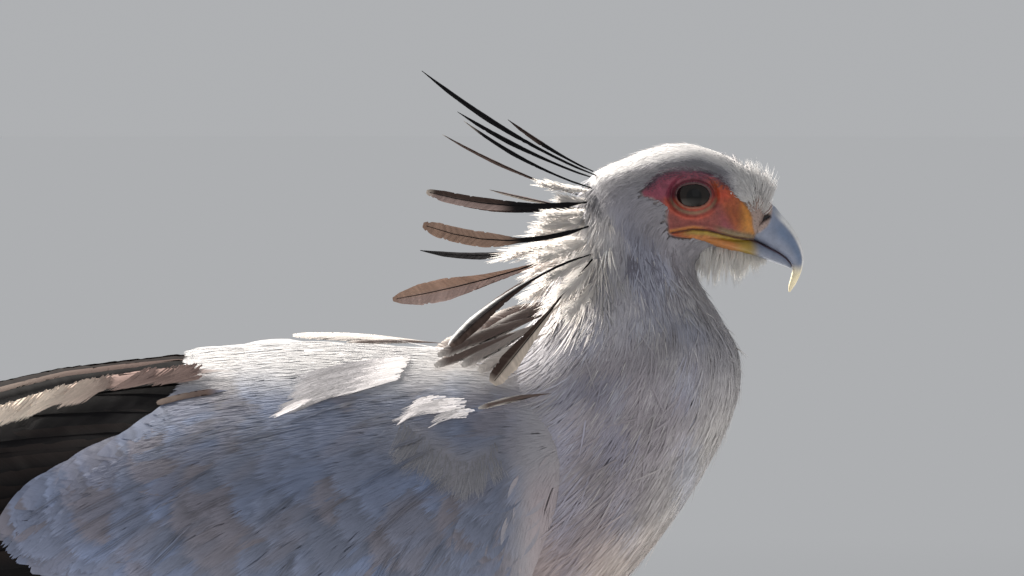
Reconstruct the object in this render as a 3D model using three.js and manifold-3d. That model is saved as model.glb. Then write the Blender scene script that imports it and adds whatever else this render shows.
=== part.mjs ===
// A secretary bird standing at rest, life size, as a still model.
// Millimetres. +X points towards the bill, +Y to the bird's left, +Z up, and the soles stand at Z = 0.
import * as THREE from "three";
import { mergeVertices } from "three/addons/utils/BufferGeometryUtils.js";
import Module from "manifold-3d";

const wasm = await Module();
wasm.setup();

const degrees = THREE.MathUtils.degToRad;
const lerp = THREE.MathUtils.lerp;

// Clearance between neighbouring pieces, and the width of a parting cut
const GAP = 0.35;
const CUT = 0.4;

// Resolution of the faceted solids
const TRUNK_SIDES = 16;
const HEAD_SIDES = 20;
const BILL_SIDES = 10;
const LEG_SIDES = 10;
const TOE_SIDES = 6;
const CLAW_SIDES = 5;

// Eyeball, and the opening of the lids through which it shows
const EYE = { x: 106.7, y: 15.6, z: 935, radius: 13.2, backFrom: 4.4 };
const LID_OPENING = { length: 23, height: 15, tilt: -0.12 };
const LID_THICKNESS = 1;

// Legs, from the floor up
const FOOT_TOP = 25;
const ANKLE_HEIGHT = 327;
const SHIN_BOTTOM = 346;
const SHIN_TOP = 690;
const FEET_X = -92;
const STRIDE = 34;
const FOOT_Y = 54;
const ANKLE_Y = 52.5;
const SHANK_LEAN = 44;

// Wings: how deep the flight feathers lie under the coverts
const COVERT_STEP = 3;

// Tail
const TAIL_ROOT = { x: -286, z: 772 };
const TAIL_DROOP = degrees(14);
const CENTRE_FEATHER = { length: 640, width: 40, sideways: 14, spread: 8, roll: degrees(14) };
const TAIL_THICK = 4.5;
const TAIL_RISE = 0.02;

// Crest plumes
const PLUME_THICK = 1.5;

// Colours and finishes
const COLOUR = {
  grey: 0xb9b7b8,
  pale: 0xc9c8ca,
  black: 0x1d1c1e,
  bill: 0x8390a6,
  lowerBill: 0xa9923f,
  eye: 0x17130f,
  shank: 0xc39a86,
  claw: 0x2a2624,
  tail: 0x9d9da3,
};
const FEATHERS = { roughness: 0.85, metalness: 0 };
const HORN = { roughness: 0.35, metalness: 0 };
const SKIN = { roughness: 0.6, metalness: 0 };

// Head, neck and trunk are one smooth form. A station is a section that runs from a point of the back
// outline to a point of the belly outline, both as X and Z, and half is its half-width along Y.
const BODY = [
  { name: "tail root", back: [-322, 784], belly: [-314, 756], half: 16 },
  { name: "vent", back: [-264, 808], belly: [-268, 712], half: 48 },
  { name: "flank", back: [-195, 832], belly: [-206, 664], half: 74 },
  { name: "belly", back: [-125, 842], belly: [-130, 636], half: 87 },
  { name: "middle", back: [-62, 843], belly: [-60, 630], half: 91 },
  { name: "keel", back: [-18, 845], belly: [14, 660], half: 89 },
  { name: "crop", back: [3, 850], belly: [68, 710], half: 83 },
  { name: "chest", back: [12, 858], belly: [106, 760], half: 73 },
  { name: "breast", back: [18, 868], belly: [130, 806], half: 62 },
  { name: "neck base", back: [23, 880], belly: [134, 838], half: 52 },
  { name: "low neck", back: [30, 894], belly: [123, 862], half: 43 },
  { name: "middle neck", back: [36, 908], belly: [113, 878], half: 36 },
  { name: "upper neck", back: [40, 921], belly: [108, 889], half: 32 },
  { name: "nape", back: [42, 935], belly: [108, 895], half: 30 },
  { name: "occiput", back: [49, 948], belly: [111, 898], half: 30 },
  { name: "back crown", back: [66, 956], belly: [115, 901], half: 30 },
  { name: "crown", back: [84, 963], belly: [121, 903], half: 29.5 },
  { name: "brow", back: [101, 965], belly: [127, 904.5], half: 28 },
  { name: "forehead", back: [118, 961], belly: [133, 905], half: 24.5 },
  { name: "forehead front", back: [133, 954], belly: [138, 905.5], half: 19 },
  { name: "lore", back: [146, 943], belly: [142, 906.5], half: 13.5 },
  { name: "cere", back: [151.5, 933], belly: [144, 908.5], half: 8 },
];
const NECK_STARTS = 9;
const HEAD_STARTS = 12.6;
const FACE_STARTS = 14;
const FACE_RINGS = 11;

// Bill: culmen and cutting edge of the upper half, from the root to the hook, then the lower half
const UPPER_BILL = [
  { back: [141, 934], belly: [131, 910.6], half: 9 },
  { back: [152.5, 929.6], belly: [139.5, 908.9], half: 9 },
  { back: [158.8, 922.9], belly: [146, 906.4], half: 8.2 },
  { back: [164, 917], belly: [151, 903.6], half: 7.3 },
  { back: [168, 910.6], belly: [156, 901.2], half: 6.2 },
  { back: [170.6, 903.8], belly: [160.6, 898.2], half: 5.1 },
  { back: [171.6, 898], belly: [163.8, 894.6], half: 4.2 },
  { back: [171.1, 893], belly: [164.8, 890.8], half: 3.3 },
  { back: [169.6, 888], belly: [164, 886.4], half: 2.4 },
  { back: [167, 882.6], belly: [162.8, 881.8], half: 1.5 },
  { back: [163.6, 877.6], belly: [162.6, 877.9], half: 0.6 },
];
const LOWER_BILL = [
  { back: [95, 913.2], belly: [96, 909.4], half: 20.5 },
  { back: [107, 915], belly: [107.5, 907.6], half: 20 },
  { back: [120, 913], belly: [118.5, 904.6], half: 17 },
  { back: [131, 910.2], belly: [128.5, 902], half: 13.2 },
  { back: [140, 908], belly: [137, 900.4], half: 10 },
  { back: [148, 904.4], belly: [146, 898], half: 7.6 },
  { back: [156, 900.6], belly: [154.5, 895], half: 5.2 },
  { back: [161.5, 896.6], belly: [160.5, 892.9], half: 3.2 },
  { back: [164.6, 892.6], belly: [164.3, 891.4], half: 1 },
];
// The loose feathers that hang under the lower bill
const CHIN = [
  { back: [103, 901], belly: [105, 886], half: 6 },
  { back: [112, 903.6], belly: [112, 882.5], half: 9.5 },
  { back: [124, 901.6], belly: [124, 882], half: 8.5 },
  { back: [135, 899.8], belly: [134, 883.5], half: 6.5 },
  { back: [143, 898], belly: [142, 890], half: 4.4 },
  { back: [148, 896.8], belly: [148.5, 894.6], half: 1.6 },
];

// Folded wing. A station is a section across X: its upper edge, its fullest point and its lower edge as
// distance from the middle plane and height, and the thickness of the wing there.
const WING = [
  { x: 34, upper: [66, 796], full: [72, 782], lower: [70, 768], thick: 4 },
  { x: 22, upper: [60, 820], full: [90, 778], lower: [80, 736], thick: 11 },
  { x: -12, upper: [46, 838], full: [103, 768], lower: [90, 696], thick: 15 },
  { x: -62, upper: [34, 846], full: [109, 762], lower: [92, 668], thick: 15 },
  { x: -125, upper: [27, 849], full: [108, 758], lower: [88, 656], thick: 14 },
  { x: -195, upper: [20, 844], full: [99, 757], lower: [80, 660], thick: 12 },
  { x: -265, upper: [14, 832], full: [85, 753], lower: [72, 672], thick: 9 },
  { x: -340, upper: [12, 813], full: [70, 738], lower: [64, 664], thick: 7 },
  { x: -420, upper: [12, 784], full: [55, 716], lower: [56, 650], thick: 6 },
  { x: -500, upper: [18, 742], full: [44, 688], lower: [50, 638], thick: 5 },
  { x: -570, upper: [28, 694], full: [40, 660], lower: [46, 630], thick: 4 },
  { x: -622, upper: [38, 650], full: [41, 642], lower: [43, 634], thick: 2.5 },
];
// Rear edge of the coverts as X and Z, from above the back to below the wing
const COVERT_EDGE = [
  [-190, 900],
  [-194, 836],
  [-205, 814],
  [-230, 790],
  [-262, 771],
  [-290, 754],
  [-302, 739],
  [-294, 724],
  [-268, 713],
  [-225, 709],
  [-175, 692],
  [-120, 678],
  [-60, 640],
];
// Line along which the secondaries end over the primaries
const PRIMARY_EDGE = [
  [-262, 716],
  [-340, 712],
  [-430, 690],
  [-505, 664],
  [-560, 600],
];
// Tips of the flight feathers, stepped along a bowed line from the innermost to the wing's point
const TIPS = { first: [-338, 830], last: [-628, 640], count: 9, bow: 26, notch: 12 };

// Feathered shin: height, forward offset from the leg's line, half-depth along X and half-width along Y
const SHIN = [
  { z: SHIN_TOP, ahead: 92, deep: 54, wide: 35, y: 48 },
  { z: 640, ahead: 84, deep: 53, wide: 36, y: 49 },
  { z: 590, ahead: 72, deep: 46, wide: 32, y: 50 },
  { z: 530, ahead: 55, deep: 36, wide: 27, y: 51 },
  { z: 465, ahead: 37, deep: 27, wide: 21.5, y: 52 },
  { z: 405, ahead: 20, deep: 20, wide: 16.5, y: ANKLE_Y },
  { z: 362, ahead: 8, deep: 15, wide: 13, y: ANKLE_Y },
  { z: SHIN_BOTTOM, ahead: 4, deep: 9.5, wide: 9, y: ANKLE_Y },
];
// Bare shank, from above the ankle to the foot: share of the way down, half-depth and half-width
const SHANK = [
  { down: -0.06, deep: 8, wide: 7.5 },
  { down: -0.02, deep: 11, wide: 10.5 },
  { down: 0.02, deep: 12.5, wide: 11 },
  { down: 0.06, deep: 9.5, wide: 8.4 },
  { down: 0.16, deep: 7.4, wide: 6.2 },
  { down: 0.5, deep: 6.8, wide: 5.8 },
  { down: 0.84, deep: 7, wide: 6.2 },
  { down: 0.94, deep: 8, wide: 8.2 },
  { down: 1, deep: 8.6, wide: 9.6 },
];
// Toes: heading in degrees from straight ahead towards the outer side, length, height at the root, claw
const TOES = [
  { name: "middle", heading: 2, length: 66, height: 15, claw: 19 },
  { name: "outer", heading: 33, length: 46, height: 14, claw: 16 },
  { name: "inner", heading: -31, length: 42, height: 14, claw: 21 },
  { name: "hind", heading: 171, length: 24, height: 13, claw: 21 },
];
const TOE_TIP_SHARE = 0.62;
const KNUCKLES = 3;
const PAD = { radius: 15, height: 27, centre: 4 };
const CLAW_ARCH = 4.5;

// Tail feathers beside the central pair, from the innermost out: length, and how far out each reaches at
// the root and how much farther for each millimetre of its length
const RECTRICES = [
  { length: 470, reach: 25, splay: 0.026 },
  { length: 435, reach: 29, splay: 0.04 },
  { length: 395, reach: 33, splay: 0.055 },
  { length: 350, reach: 36, splay: 0.074 },
  { length: 300, reach: 39, splay: 0.094 },
];
const FAN = { inner: 3, tipRound: 0.13, archHeight: 34, archWidth: 66 };

// Crest plumes: root and tip in X, Y and Z, sag at the middle, greatest width, and the roll of the vane
const PLUMES = [
  { root: [50, -8, 946], tip: [-54, -16, 1009], sag: -5, width: 8, roll: 60 },
  { root: [49, 6, 944], tip: [-33, 14, 984], sag: -3, width: 7, roll: 62 },
  { root: [47, -16, 939], tip: [-29, -27, 979.5], sag: -4, width: 7, roll: 64 },
  { root: [48, 14, 948], tip: [-3, 26, 979], sag: -2, width: 5.5, roll: 58 },
  { root: [46, 21, 932], tip: [-42, 37, 970], sag: -3, width: 6, roll: 70 },
  { root: [44, -20, 931], tip: [-51, -38, 938], sag: -5, width: 12, roll: 24 },
  { root: [45, 2, 926], tip: [-14, 3, 938], sag: -1, width: 7, roll: 50 },
  { root: [44, 24, 927], tip: [-49, 44, 935], sag: -5, width: 10, roll: 24 },
  { root: [45, -25, 917], tip: [-53, -47, 919], sag: -9, width: 13, roll: 12 },
  { root: [40, 8, 909], tip: [-55, 12, 902], sag: -6, width: 9, roll: 66 },
  { root: [38, -12, 903], tip: [-71, -26, 874], sag: -3, width: 14, roll: 8 },
  { root: [36, 18, 901], tip: [-60, 38, 873.5], sag: -3, width: 11, roll: 8 },
  { root: [47, -30, 901], tip: [-37, -62, 847.5], sag: 8, width: 11, roll: 40 },
  { root: [47, -34, 898], tip: [-12, -71, 826], sag: 0, width: 13, roll: 6 },
  { root: [40, 31, 896.5], tip: [-34, 63, 846], sag: 8, width: 9, roll: 40 },
];

const SIDES = [
  { side: "right", sign: -1 },
  { side: "left", sign: 1 },
];
const bird = new THREE.Group();
// The pieces placed so far, each grown by the gap, which later pieces leave free
const taken = [];

// Smooth interpolation of one number over a list of stations, with t counted in stations
function along(stations, read, t) {
  const last = stations.length - 1;
  const i = Math.max(0, Math.min(Math.floor(t), last - 1));
  const u = t - i;
  const at = (k) => read(stations[Math.max(0, Math.min(k, last))]);
  const [a, b, c, d] = [at(i - 1), at(i), at(i + 1), at(i + 2)];
  return b + 0.5 * u * (c - a + u * (2 * a - 5 * b + 4 * c - d + u * (3 * (b - c) + d - a)));
}

// A closed surface through rings of points, with a flat cap at each end
function loft(rings) {
  const sides = rings[0].length;
  const points = rings.flat();
  const index = [];
  for (let r = 0; r + 1 < rings.length; r++)
    for (let k = 0; k < sides; k++) {
      const a = r * sides + k;
      const b = r * sides + ((k + 1) % sides);
      index.push(a, b, b + sides, a, b + sides, a + sides);
    }
  for (const r of [0, rings.length - 1]) {
    const centre = new THREE.Vector3();
    rings[r].forEach((p) => centre.addScaledVector(p, 1 / sides));
    points.push(centre);
    for (let k = 0; k < sides; k++) {
      const a = r * sides + k;
      const b = r * sides + ((k + 1) % sides);
      index.push(points.length - 1, r ? a : b, r ? b : a);
    }
  }
  return new THREE.BufferGeometry().setFromPoints(points).setIndex(index);
}

// Calls visit with the three corners of each triangle and their indices
function eachTriangle(geometry, visit) {
  const { position } = geometry.attributes;
  const { array } = geometry.index;
  for (let i = 0; i < array.length; i += 3) {
    const corners = [0, 1, 2].map((k) => new THREE.Vector3().fromBufferAttribute(position, array[i + k]));
    visit(corners, [array[i], array[i + 1], array[i + 2]]);
  }
}

function enclosedVolume(geometry) {
  let six = 0;
  eachTriangle(geometry, ([a, b, c]) => {
    six += a.dot(b.cross(c));
  });
  return six / 6;
}

// The geometry with shared vertices merged, only positions kept, and its faces pointing out
function closed(geometry) {
  const bare = geometry.clone();
  bare.deleteAttribute("normal");
  bare.deleteAttribute("uv");
  const surface = mergeVertices(bare, 1e-3);
  if (enclosedVolume(surface) > 0) return surface;
  const { array } = surface.index;
  for (let i = 0; i < array.length; i += 3)
    [array[i + 1], array[i + 2]] = [array[i + 2], array[i + 1]];
  return surface;
}

function solidOf(geometry) {
  const surface = closed(geometry);
  return new wasm.Manifold(
    new wasm.Mesh({
      numProp: 3,
      vertProperties: new Float32Array(surface.attributes.position.array),
      triVerts: new Uint32Array(surface.index.array),
    }),
  );
}

function geometryOf(solid) {
  const mesh = solid.getMesh();
  return new THREE.BufferGeometry()
    .setAttribute("position", new THREE.BufferAttribute(mesh.vertProperties, 3))
    .setIndex(new THREE.BufferAttribute(mesh.triVerts, 1));
}

// The same surface with each face moved out by at least the distance, mitred at its corners
function grown(geometry, distance) {
  const surface = closed(geometry);
  const { position } = surface.attributes;
  const faces = Array.from({ length: position.count }, () => []);
  eachTriangle(surface, ([a, b, c], corners) => {
    const normal = b.sub(a).cross(c.sub(a));
    if (normal.length() > 1e-9) corners.forEach((i) => faces[i].push(normal));
  });
  for (let i = 0; i < position.count; i++) {
    const out = new THREE.Vector3();
    faces[i].forEach((normal) => out.add(normal));
    out.normalize();
    const narrowest = Math.min(...faces[i].map((normal) => out.dot(normal) / normal.length()));
    const reach = distance / Math.max(narrowest, 0.35);
    const p = new THREE.Vector3().fromBufferAttribute(position, i).addScaledVector(out, reach);
    position.setXYZ(i, p.x, p.y, p.z);
  }
  return surface;
}

function largest(solid) {
  return solid.decompose().sort((a, b) => b.volume() - a.volume())[0];
}

function boxesMeet(a, b) {
  return [0, 1, 2].every((k) => a.min[k] < b.max[k] && b.min[k] < a.max[k]);
}

// Adds one piece, cut back where earlier pieces and the gap round them already fill the space
function place(name, whole, colour, finish) {
  let solid = whole;
  for (const other of taken)
    if (boxesMeet(solid.boundingBox(), other.boundingBox())) solid = solid.subtract(other);
  solid = largest(solid);
  const geometry = geometryOf(solid);
  taken.push(solid.add(solidOf(grown(geometry, GAP))));
  const mesh = new THREE.Mesh(geometry, new THREE.MeshStandardMaterial({ color: colour, ...finish }));
  mesh.name = name;
  bird.add(mesh);
}

// An oval ring from the back outline to the belly outline, as wide as the station says
function profileRing(stations, t, sides) {
  const read = (key, k) => along(stations, (s) => s[key][k], t);
  const back = new THREE.Vector3(read("back", 0), 0, read("back", 1));
  const belly = new THREE.Vector3(read("belly", 0), 0, read("belly", 1));
  const half = along(stations, (s) => s.half, t);
  return Array.from({ length: sides }, (_, k) => {
    const angle = (2 * Math.PI * k) / sides;
    const p = belly.clone().lerp(back, (1 + Math.cos(angle)) / 2);
    p.y = half * Math.sin(angle);
    return p;
  });
}

function profileLoft(stations, from, to, sides, perStation) {
  const count = Math.round((to - from) * perStation);
  return loft(
    Array.from({ length: count + 1 }, (_, i) => profileRing(stations, lerp(from, to, i / count), sides)),
  );
}

// Relief of the face: the hollows round the eye and in front of it, the brow, and the skin over the ball
function carveFace(p) {
  const dx = p.x - EYE.x;
  const dz = p.z - EYE.z;
  const near = Math.hypot(dx, dz);
  const side = Math.abs(p.y);
  if (side < 6) return;
  const hollow = 2.6 * Math.exp(-((near / 17) ** 2));
  const lore = 2.2 * Math.exp(-(((dx - 24) / 11) ** 2) - ((dz + 8) / 8) ** 2);
  const brow = 3.2 * Math.exp(-(((dx - 6) / 17) ** 2) - ((dz - 13.5) / 4) ** 2);
  let y = side - hollow - lore + brow;
  if (near < EYE.radius) {
    const ball = EYE.y + Math.sqrt(EYE.radius ** 2 - near ** 2);
    y = Math.max(y, ball + LID_THICKNESS);
  }
  p.y = Math.sign(p.y) * y;
}

// A prism along Y over an outline in X and Z, centred on the middle plane
function prism(outline, depth, curveSegments = 3) {
  const solid = new THREE.ExtrudeGeometry(outline, { depth, bevelEnabled: false, curveSegments });
  solid.rotateX(Math.PI / 2);
  solid.translate(0, depth / 2, 0);
  return solid;
}

// A thin wall that follows a line in X and Z and runs right across the bird, to part a solid
function partingWall(line) {
  const points = line.map(([x, z]) => new THREE.Vector2(x, z));
  const offset = (sign) =>
    points.map((p, i) => {
      const before = points[Math.max(i - 1, 0)];
      const after = points[Math.min(i + 1, points.length - 1)];
      const run = after.clone().sub(before).normalize();
      return new THREE.Vector2(p.x - (sign * run.y * CUT) / 2, p.y + (sign * run.x * CUT) / 2);
    });
  return solidOf(prism(new THREE.Shape([...offset(1), ...offset(-1).reverse()]), 300));
}

// The front of the eyeball, as a domed lens with a flat back
function makeEyes() {
  const widest = Math.acos(EYE.backFrom / EYE.radius);
  const profile = [new THREE.Vector2(0, EYE.backFrom)];
  for (let i = 5; i >= 0; i--) {
    const angle = (widest * i) / 5;
    profile.push(new THREE.Vector2(EYE.radius * Math.sin(angle), EYE.radius * Math.cos(angle)));
  }
  for (const { side, sign } of SIDES) {
    const lens = new THREE.LatheGeometry(profile, 12);
    if (sign < 0) lens.rotateX(Math.PI);
    lens.translate(EYE.x, sign * EYE.y, EYE.z);
    place(`eye_${side}`, solidOf(lens), COLOUR.eye, HORN);
  }
}

// The almond-shaped opening of the lids, cut on each side down to the back of the eye
function lidOpening() {
  const { length, height, tilt } = LID_OPENING;
  const half = length / 2;
  const outline = new THREE.Shape();
  outline.moveTo(-half, 0);
  outline.quadraticCurveTo(-half * 0.55, height * 0.52, 0, height * 0.5);
  outline.quadraticCurveTo(half * 0.75, height * 0.46, half, 0);
  outline.quadraticCurveTo(half * 0.6, -height * 0.52, 0, -height * 0.5);
  outline.quadraticCurveTo(-half * 0.6, -height * 0.46, -half, 0);
  const opening = prism(outline, 80, 4);
  opening.rotateY(-tilt);
  opening.translate(EYE.x, 0, EYE.z);
  const skull = new THREE.BoxGeometry(60, 2 * (EYE.y + EYE.backFrom), 60);
  skull.translate(EYE.x, 0, EYE.z);
  return solidOf(opening).subtract(solidOf(skull));
}

function makeBill() {
  const upper = profileLoft(UPPER_BILL, 0, UPPER_BILL.length - 1, BILL_SIDES, 1);
  const lower = profileLoft(LOWER_BILL, 0, LOWER_BILL.length - 1, BILL_SIDES, 1);
  place("bill_upper", solidOf(upper), COLOUR.bill, HORN);
  place("bill_lower", solidOf(lower), COLOUR.lowerBill, HORN);
}

function makeHead() {
  const stops = [HEAD_STARTS, (HEAD_STARTS + FACE_STARTS) / 2];
  for (let i = 0; i <= FACE_RINGS; i++) stops.push(lerp(FACE_STARTS, BODY.length - 1, i / FACE_RINGS));
  const rings = stops.map((t) => profileRing(BODY, t, HEAD_SIDES));
  rings.slice(2).forEach((ring) => ring.forEach(carveFace));
  place("head", solidOf(loft(rings)).subtract(lidOpening()), COLOUR.grey, FEATHERS);
  const chin = profileLoft(CHIN, 0, CHIN.length - 1, 8, 1);
  place("chin", solidOf(chin), COLOUR.pale, FEATHERS);
}

function makeNeckAndTrunk() {
  const neck = profileLoft(BODY, NECK_STARTS, HEAD_STARTS + 0.2, TRUNK_SIDES, 1.4);
  place("neck", solidOf(neck), COLOUR.grey, FEATHERS);
  const trunk = profileLoft(BODY, 0, NECK_STARTS + 0.1, TRUNK_SIDES, 1.35);
  place("trunk", solidOf(trunk), COLOUR.grey, FEATHERS);
}

// A wing section: an outer arc from the upper to the lower edge, and back along an inner arc.
// The sink draws the whole section in under the feathers that cover it.
function wingRing(station, sign, sink) {
  const [upper, full, lower] = [station.upper, station.full, station.lower].map(
    ([out, height]) => new THREE.Vector2(out, height),
  );
  const control = full.clone().multiplyScalar(2).addScaledVector(upper, -0.5).addScaledVector(lower, -0.5);
  const arc = new THREE.QuadraticBezierCurve(upper, control, lower);
  const thick = Math.max(1.5, station.thick - sink);
  const steps = 5;
  const outer = [];
  const inner = [];
  for (let i = 0; i <= steps; i++) {
    const s = i / steps;
    const p = arc.getPoint(s);
    const run = arc.getTangent(s);
    const out = new THREE.Vector2(-run.y, run.x);
    p.addScaledVector(out, -sink);
    outer.push(new THREE.Vector3(station.x, sign * p.x, p.y));
    p.addScaledVector(out, -thick * (0.25 + 0.75 * Math.sin(Math.PI * s)));
    inner.push(new THREE.Vector3(station.x, sign * p.x, p.y));
  }
  return [...outer, ...inner.reverse()];
}

function wingLoft(sign, sink) {
  return solidOf(loft(WING.map((station) => wingRing(station, sign, sink))));
}

// Side outline of the folded wing, its rear edge stepped by the feather tips
function wingOutline() {
  const { first, last, count, bow, notch } = TIPS;
  const at = (share) => {
    const swell = bow * Math.sin(Math.PI * share);
    return [lerp(first[0], last[0], share) - swell, lerp(first[1], last[1], share) - 0.6 * swell];
  };
  const outline = new THREE.Shape();
  outline.moveTo(80, 560);
  outline.lineTo(80, 900);
  outline.lineTo(first[0] + bow, 900);
  for (let i = 0; i < count; i++) {
    const [startX, startZ] = at(i / count);
    const [endX, endZ] = at((i + 1) / count);
    outline.lineTo(startX + notch, startZ);
    outline.quadraticCurveTo(startX - notch, startZ - 2, endX + notch / 2, endZ + notch / 2);
  }
  outline.lineTo(last[0], 560);
  return solidOf(prism(outline, 300));
}

function makeWings() {
  const outline = wingOutline();
  const covertWall = partingWall(COVERT_EDGE);
  const primaryWall = partingWall(PRIMARY_EDGE);
  const foremost = (a, b) => b.boundingBox().max[0] - a.boundingBox().max[0];
  const highest = (a, b) => b.boundingBox().max[2] - a.boundingBox().max[2];
  for (const { side, sign } of SIDES) {
    const [coverts] = wingLoft(sign, 0).subtract(covertWall).decompose().sort(foremost);
    place(`wing_${side}`, coverts, COLOUR.pale, FEATHERS);
    const flight = wingLoft(sign, COVERT_STEP).intersect(outline);
    const [, behind] = flight.subtract(covertWall).decompose().sort(foremost);
    const [secondaries, primaries] = behind.subtract(primaryWall).decompose().sort(highest);
    place(`secondaries_${side}`, secondaries, COLOUR.black, FEATHERS);
    place(`primaries_${side}`, primaries, COLOUR.black, FEATHERS);
  }
}

// A closed tube of level oval rings: centre, half-depth along X and half-width along Y
function levelLoft(sections) {
  return loft(
    sections.map(({ x, y, z, deep, wide }) =>
      Array.from({ length: LEG_SIDES }, (_, k) => {
        const angle = (2 * Math.PI * k) / LEG_SIDES;
        return new THREE.Vector3(x + deep * Math.cos(angle), y + wide * Math.sin(angle), z);
      }),
    ),
  );
}

// A round tube along a curve, its radius a function of the share of the way along
function taper(curve, radius, steps, sides) {
  const rings = [];
  for (let i = 0; i <= steps; i++) {
    const s = i / steps;
    const centre = curve.getPoint(s);
    const ahead = curve.getTangent(s);
    const across = new THREE.Vector3(0, 0, 1).cross(ahead).normalize();
    const up = ahead.clone().cross(across);
    const ring = [];
    for (let k = 0; k < sides; k++) {
      const angle = (2 * Math.PI * (k + 0.5)) / sides;
      const p = centre.clone().addScaledVector(across, radius(s) * Math.cos(angle));
      ring.push(p.addScaledVector(up, radius(s) * Math.sin(angle)));
    }
    rings.push(ring);
  }
  return solidOf(loft(rings));
}

// The talon that continues a toe: from its end it arches forward and down to the floor
function clawAt(start, ahead, toe) {
  const arch = start.clone().addScaledVector(ahead, toe.claw * 0.55);
  arch.z += CLAW_ARCH;
  const point = start.clone().addScaledVector(ahead, toe.claw);
  point.z = 1.2;
  const talon = new THREE.QuadraticBezierCurve3(start, arch, point);
  return taper(talon, (s) => lerp(toe.height * 0.27, 0.8, s ** 1.2), 4, CLAW_SIDES);
}

// One foot: a pad with four toes, flat underneath, and the claws beyond them
function makeFoot(side, sign, x, y) {
  const aboveFloor = new THREE.BoxGeometry(300, 300, FOOT_TOP);
  aboveFloor.translate(x, y, FOOT_TOP / 2);
  const slab = solidOf(aboveFloor);
  const pad = new THREE.SphereGeometry(1, 10, 8);
  pad.scale(PAD.radius, PAD.radius * 0.85, PAD.height);
  pad.translate(x, y, PAD.centre);
  let foot = solidOf(pad);
  const claws = [];
  for (const toe of TOES) {
    const angle = degrees(toe.heading);
    const ahead = new THREE.Vector3(Math.cos(angle), sign * Math.sin(angle), 0);
    const root = new THREE.Vector3(x, y, toe.height * 0.52);
    const end = root.clone().addScaledVector(ahead, toe.length).setZ(toe.height * 0.36);
    const knuckle = (s) => 1 + 0.09 * Math.cos(2 * Math.PI * KNUCKLES * s);
    const radius = (s) => (toe.height / 2) * lerp(1, TOE_TIP_SHARE, s) * knuckle(s);
    foot = foot.add(taper(new THREE.LineCurve3(root, end), radius, 2 * KNUCKLES, TOE_SIDES));
    claws.push({ name: toe.name, solid: clawAt(end.addScaledVector(ahead, CUT), ahead, toe) });
  }
  place(`foot_${side}`, foot.intersect(slab), COLOUR.shank, SKIN);
  for (const { name, solid } of claws)
    place(`claw_${side}_${name}`, solid.intersect(slab), COLOUR.claw, HORN);
}

// One leg, whose foot stands at footX
function makeLeg(side, sign, footX) {
  makeFoot(side, sign, footX, sign * FOOT_Y);
  const ankleX = footX - SHANK_LEAN;
  const shank = SHANK.map(({ down, deep, wide }) => ({
    x: lerp(ankleX, footX - 2, down),
    y: sign * lerp(ANKLE_Y, FOOT_Y, down),
    z: lerp(ANKLE_HEIGHT, FOOT_TOP + GAP, down),
    deep,
    wide,
  }));
  place(`shank_${side}`, solidOf(levelLoft(shank)), COLOUR.shank, SKIN);
  // Both shins rise to the same place in the body, whatever the stride
  const hipX = FEET_X - SHANK_LEAN;
  const rise = (z) => (z - SHIN_BOTTOM) / (SHIN_TOP - SHIN_BOTTOM);
  const shin = SHIN.map(({ z, ahead, deep, wide, y }) => ({
    x: lerp(ankleX, hipX, rise(z)) + ahead,
    y: sign * y,
    z,
    deep,
    wide,
  }));
  place(`shin_${side}`, solidOf(levelLoft(shin)), COLOUR.black, FEATHERS);
}

// A feather along a curve: its width profile, and the roll of its flat side about the shaft
function blade(curve, { width, thick, roll, profile, steps }) {
  const corners = [[1, 0], [0, 1], [-1, 0], [0, -1]];
  const rings = [];
  for (let i = 0; i <= steps; i++) {
    const s = i / steps;
    const centre = curve.getPoint(s);
    const ahead = curve.getTangent(s);
    const flat = new THREE.Vector3(0, 1, 0).addScaledVector(ahead, -ahead.y).normalize();
    flat.applyAxisAngle(ahead, roll);
    const out = flat.clone().cross(ahead);
    const half = (width / 2) * profile(s);
    const rise = (thick / 2) * (0.5 + 0.5 * profile(s));
    rings.push(
      corners.map(([a, b]) => centre.clone().addScaledVector(flat, a * half).addScaledVector(out, b * rise)),
    );
  }
  return solidOf(loft(rings));
}

// A tail feather widens from its root and is rounded at the tip
function rectrixWidth(s) {
  const root = Math.min(1, 0.35 + 2.2 * s);
  return s < 0.88 ? root : root * Math.sqrt(Math.max(0.06, 1 - ((s - 0.88) / 0.12) ** 2));
}

// A crest plume is a bare shaft with a spatulate end
function plumeWidth(s) {
  const spoon = 0.22 + 0.78 * Math.exp(-(((s - 0.78) / 0.27) ** 2));
  return s < 0.9 ? spoon : spoon * Math.max(0.12, 1 - ((s - 0.9) / 0.1) ** 2);
}

// One of the two long central feathers, a roof-shaped strip on its half of the tail
function centreFeather(sign) {
  const { length, width, sideways, spread, roll } = CENTRE_FEATHER;
  const root = new THREE.Vector3(TAIL_ROOT.x, sign * sideways, TAIL_ROOT.z);
  const tip = root.clone();
  tip.add(new THREE.Vector3(-length * Math.cos(TAIL_DROOP), sign * spread, -length * Math.sin(TAIL_DROOP)));
  const middle = root.clone().lerp(tip, 0.5);
  middle.z += TAIL_RISE * length;
  const curve = new THREE.QuadraticBezierCurve3(root, middle, tip);
  return blade(curve, { width, thick: TAIL_THICK, roll: sign * roll, profile: rectrixWidth, steps: 7 });
}

// How far out the fan reaches at a distance from the root: the outermost feather that is that long
function fanReach(distance) {
  const reaches = RECTRICES.map(({ length, reach, splay }) => {
    const left = (length - distance) / (FAN.tipRound * length);
    if (left <= 0) return FAN.inner + 1;
    const rounding = left < 1 ? Math.sqrt(1 - (1 - left) ** 2) : 1;
    const edge = reach + splay * distance;
    return lerp(edge - 2 * TAIL_THICK, edge, rounding);
  });
  return Math.max(...reaches);
}

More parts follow.
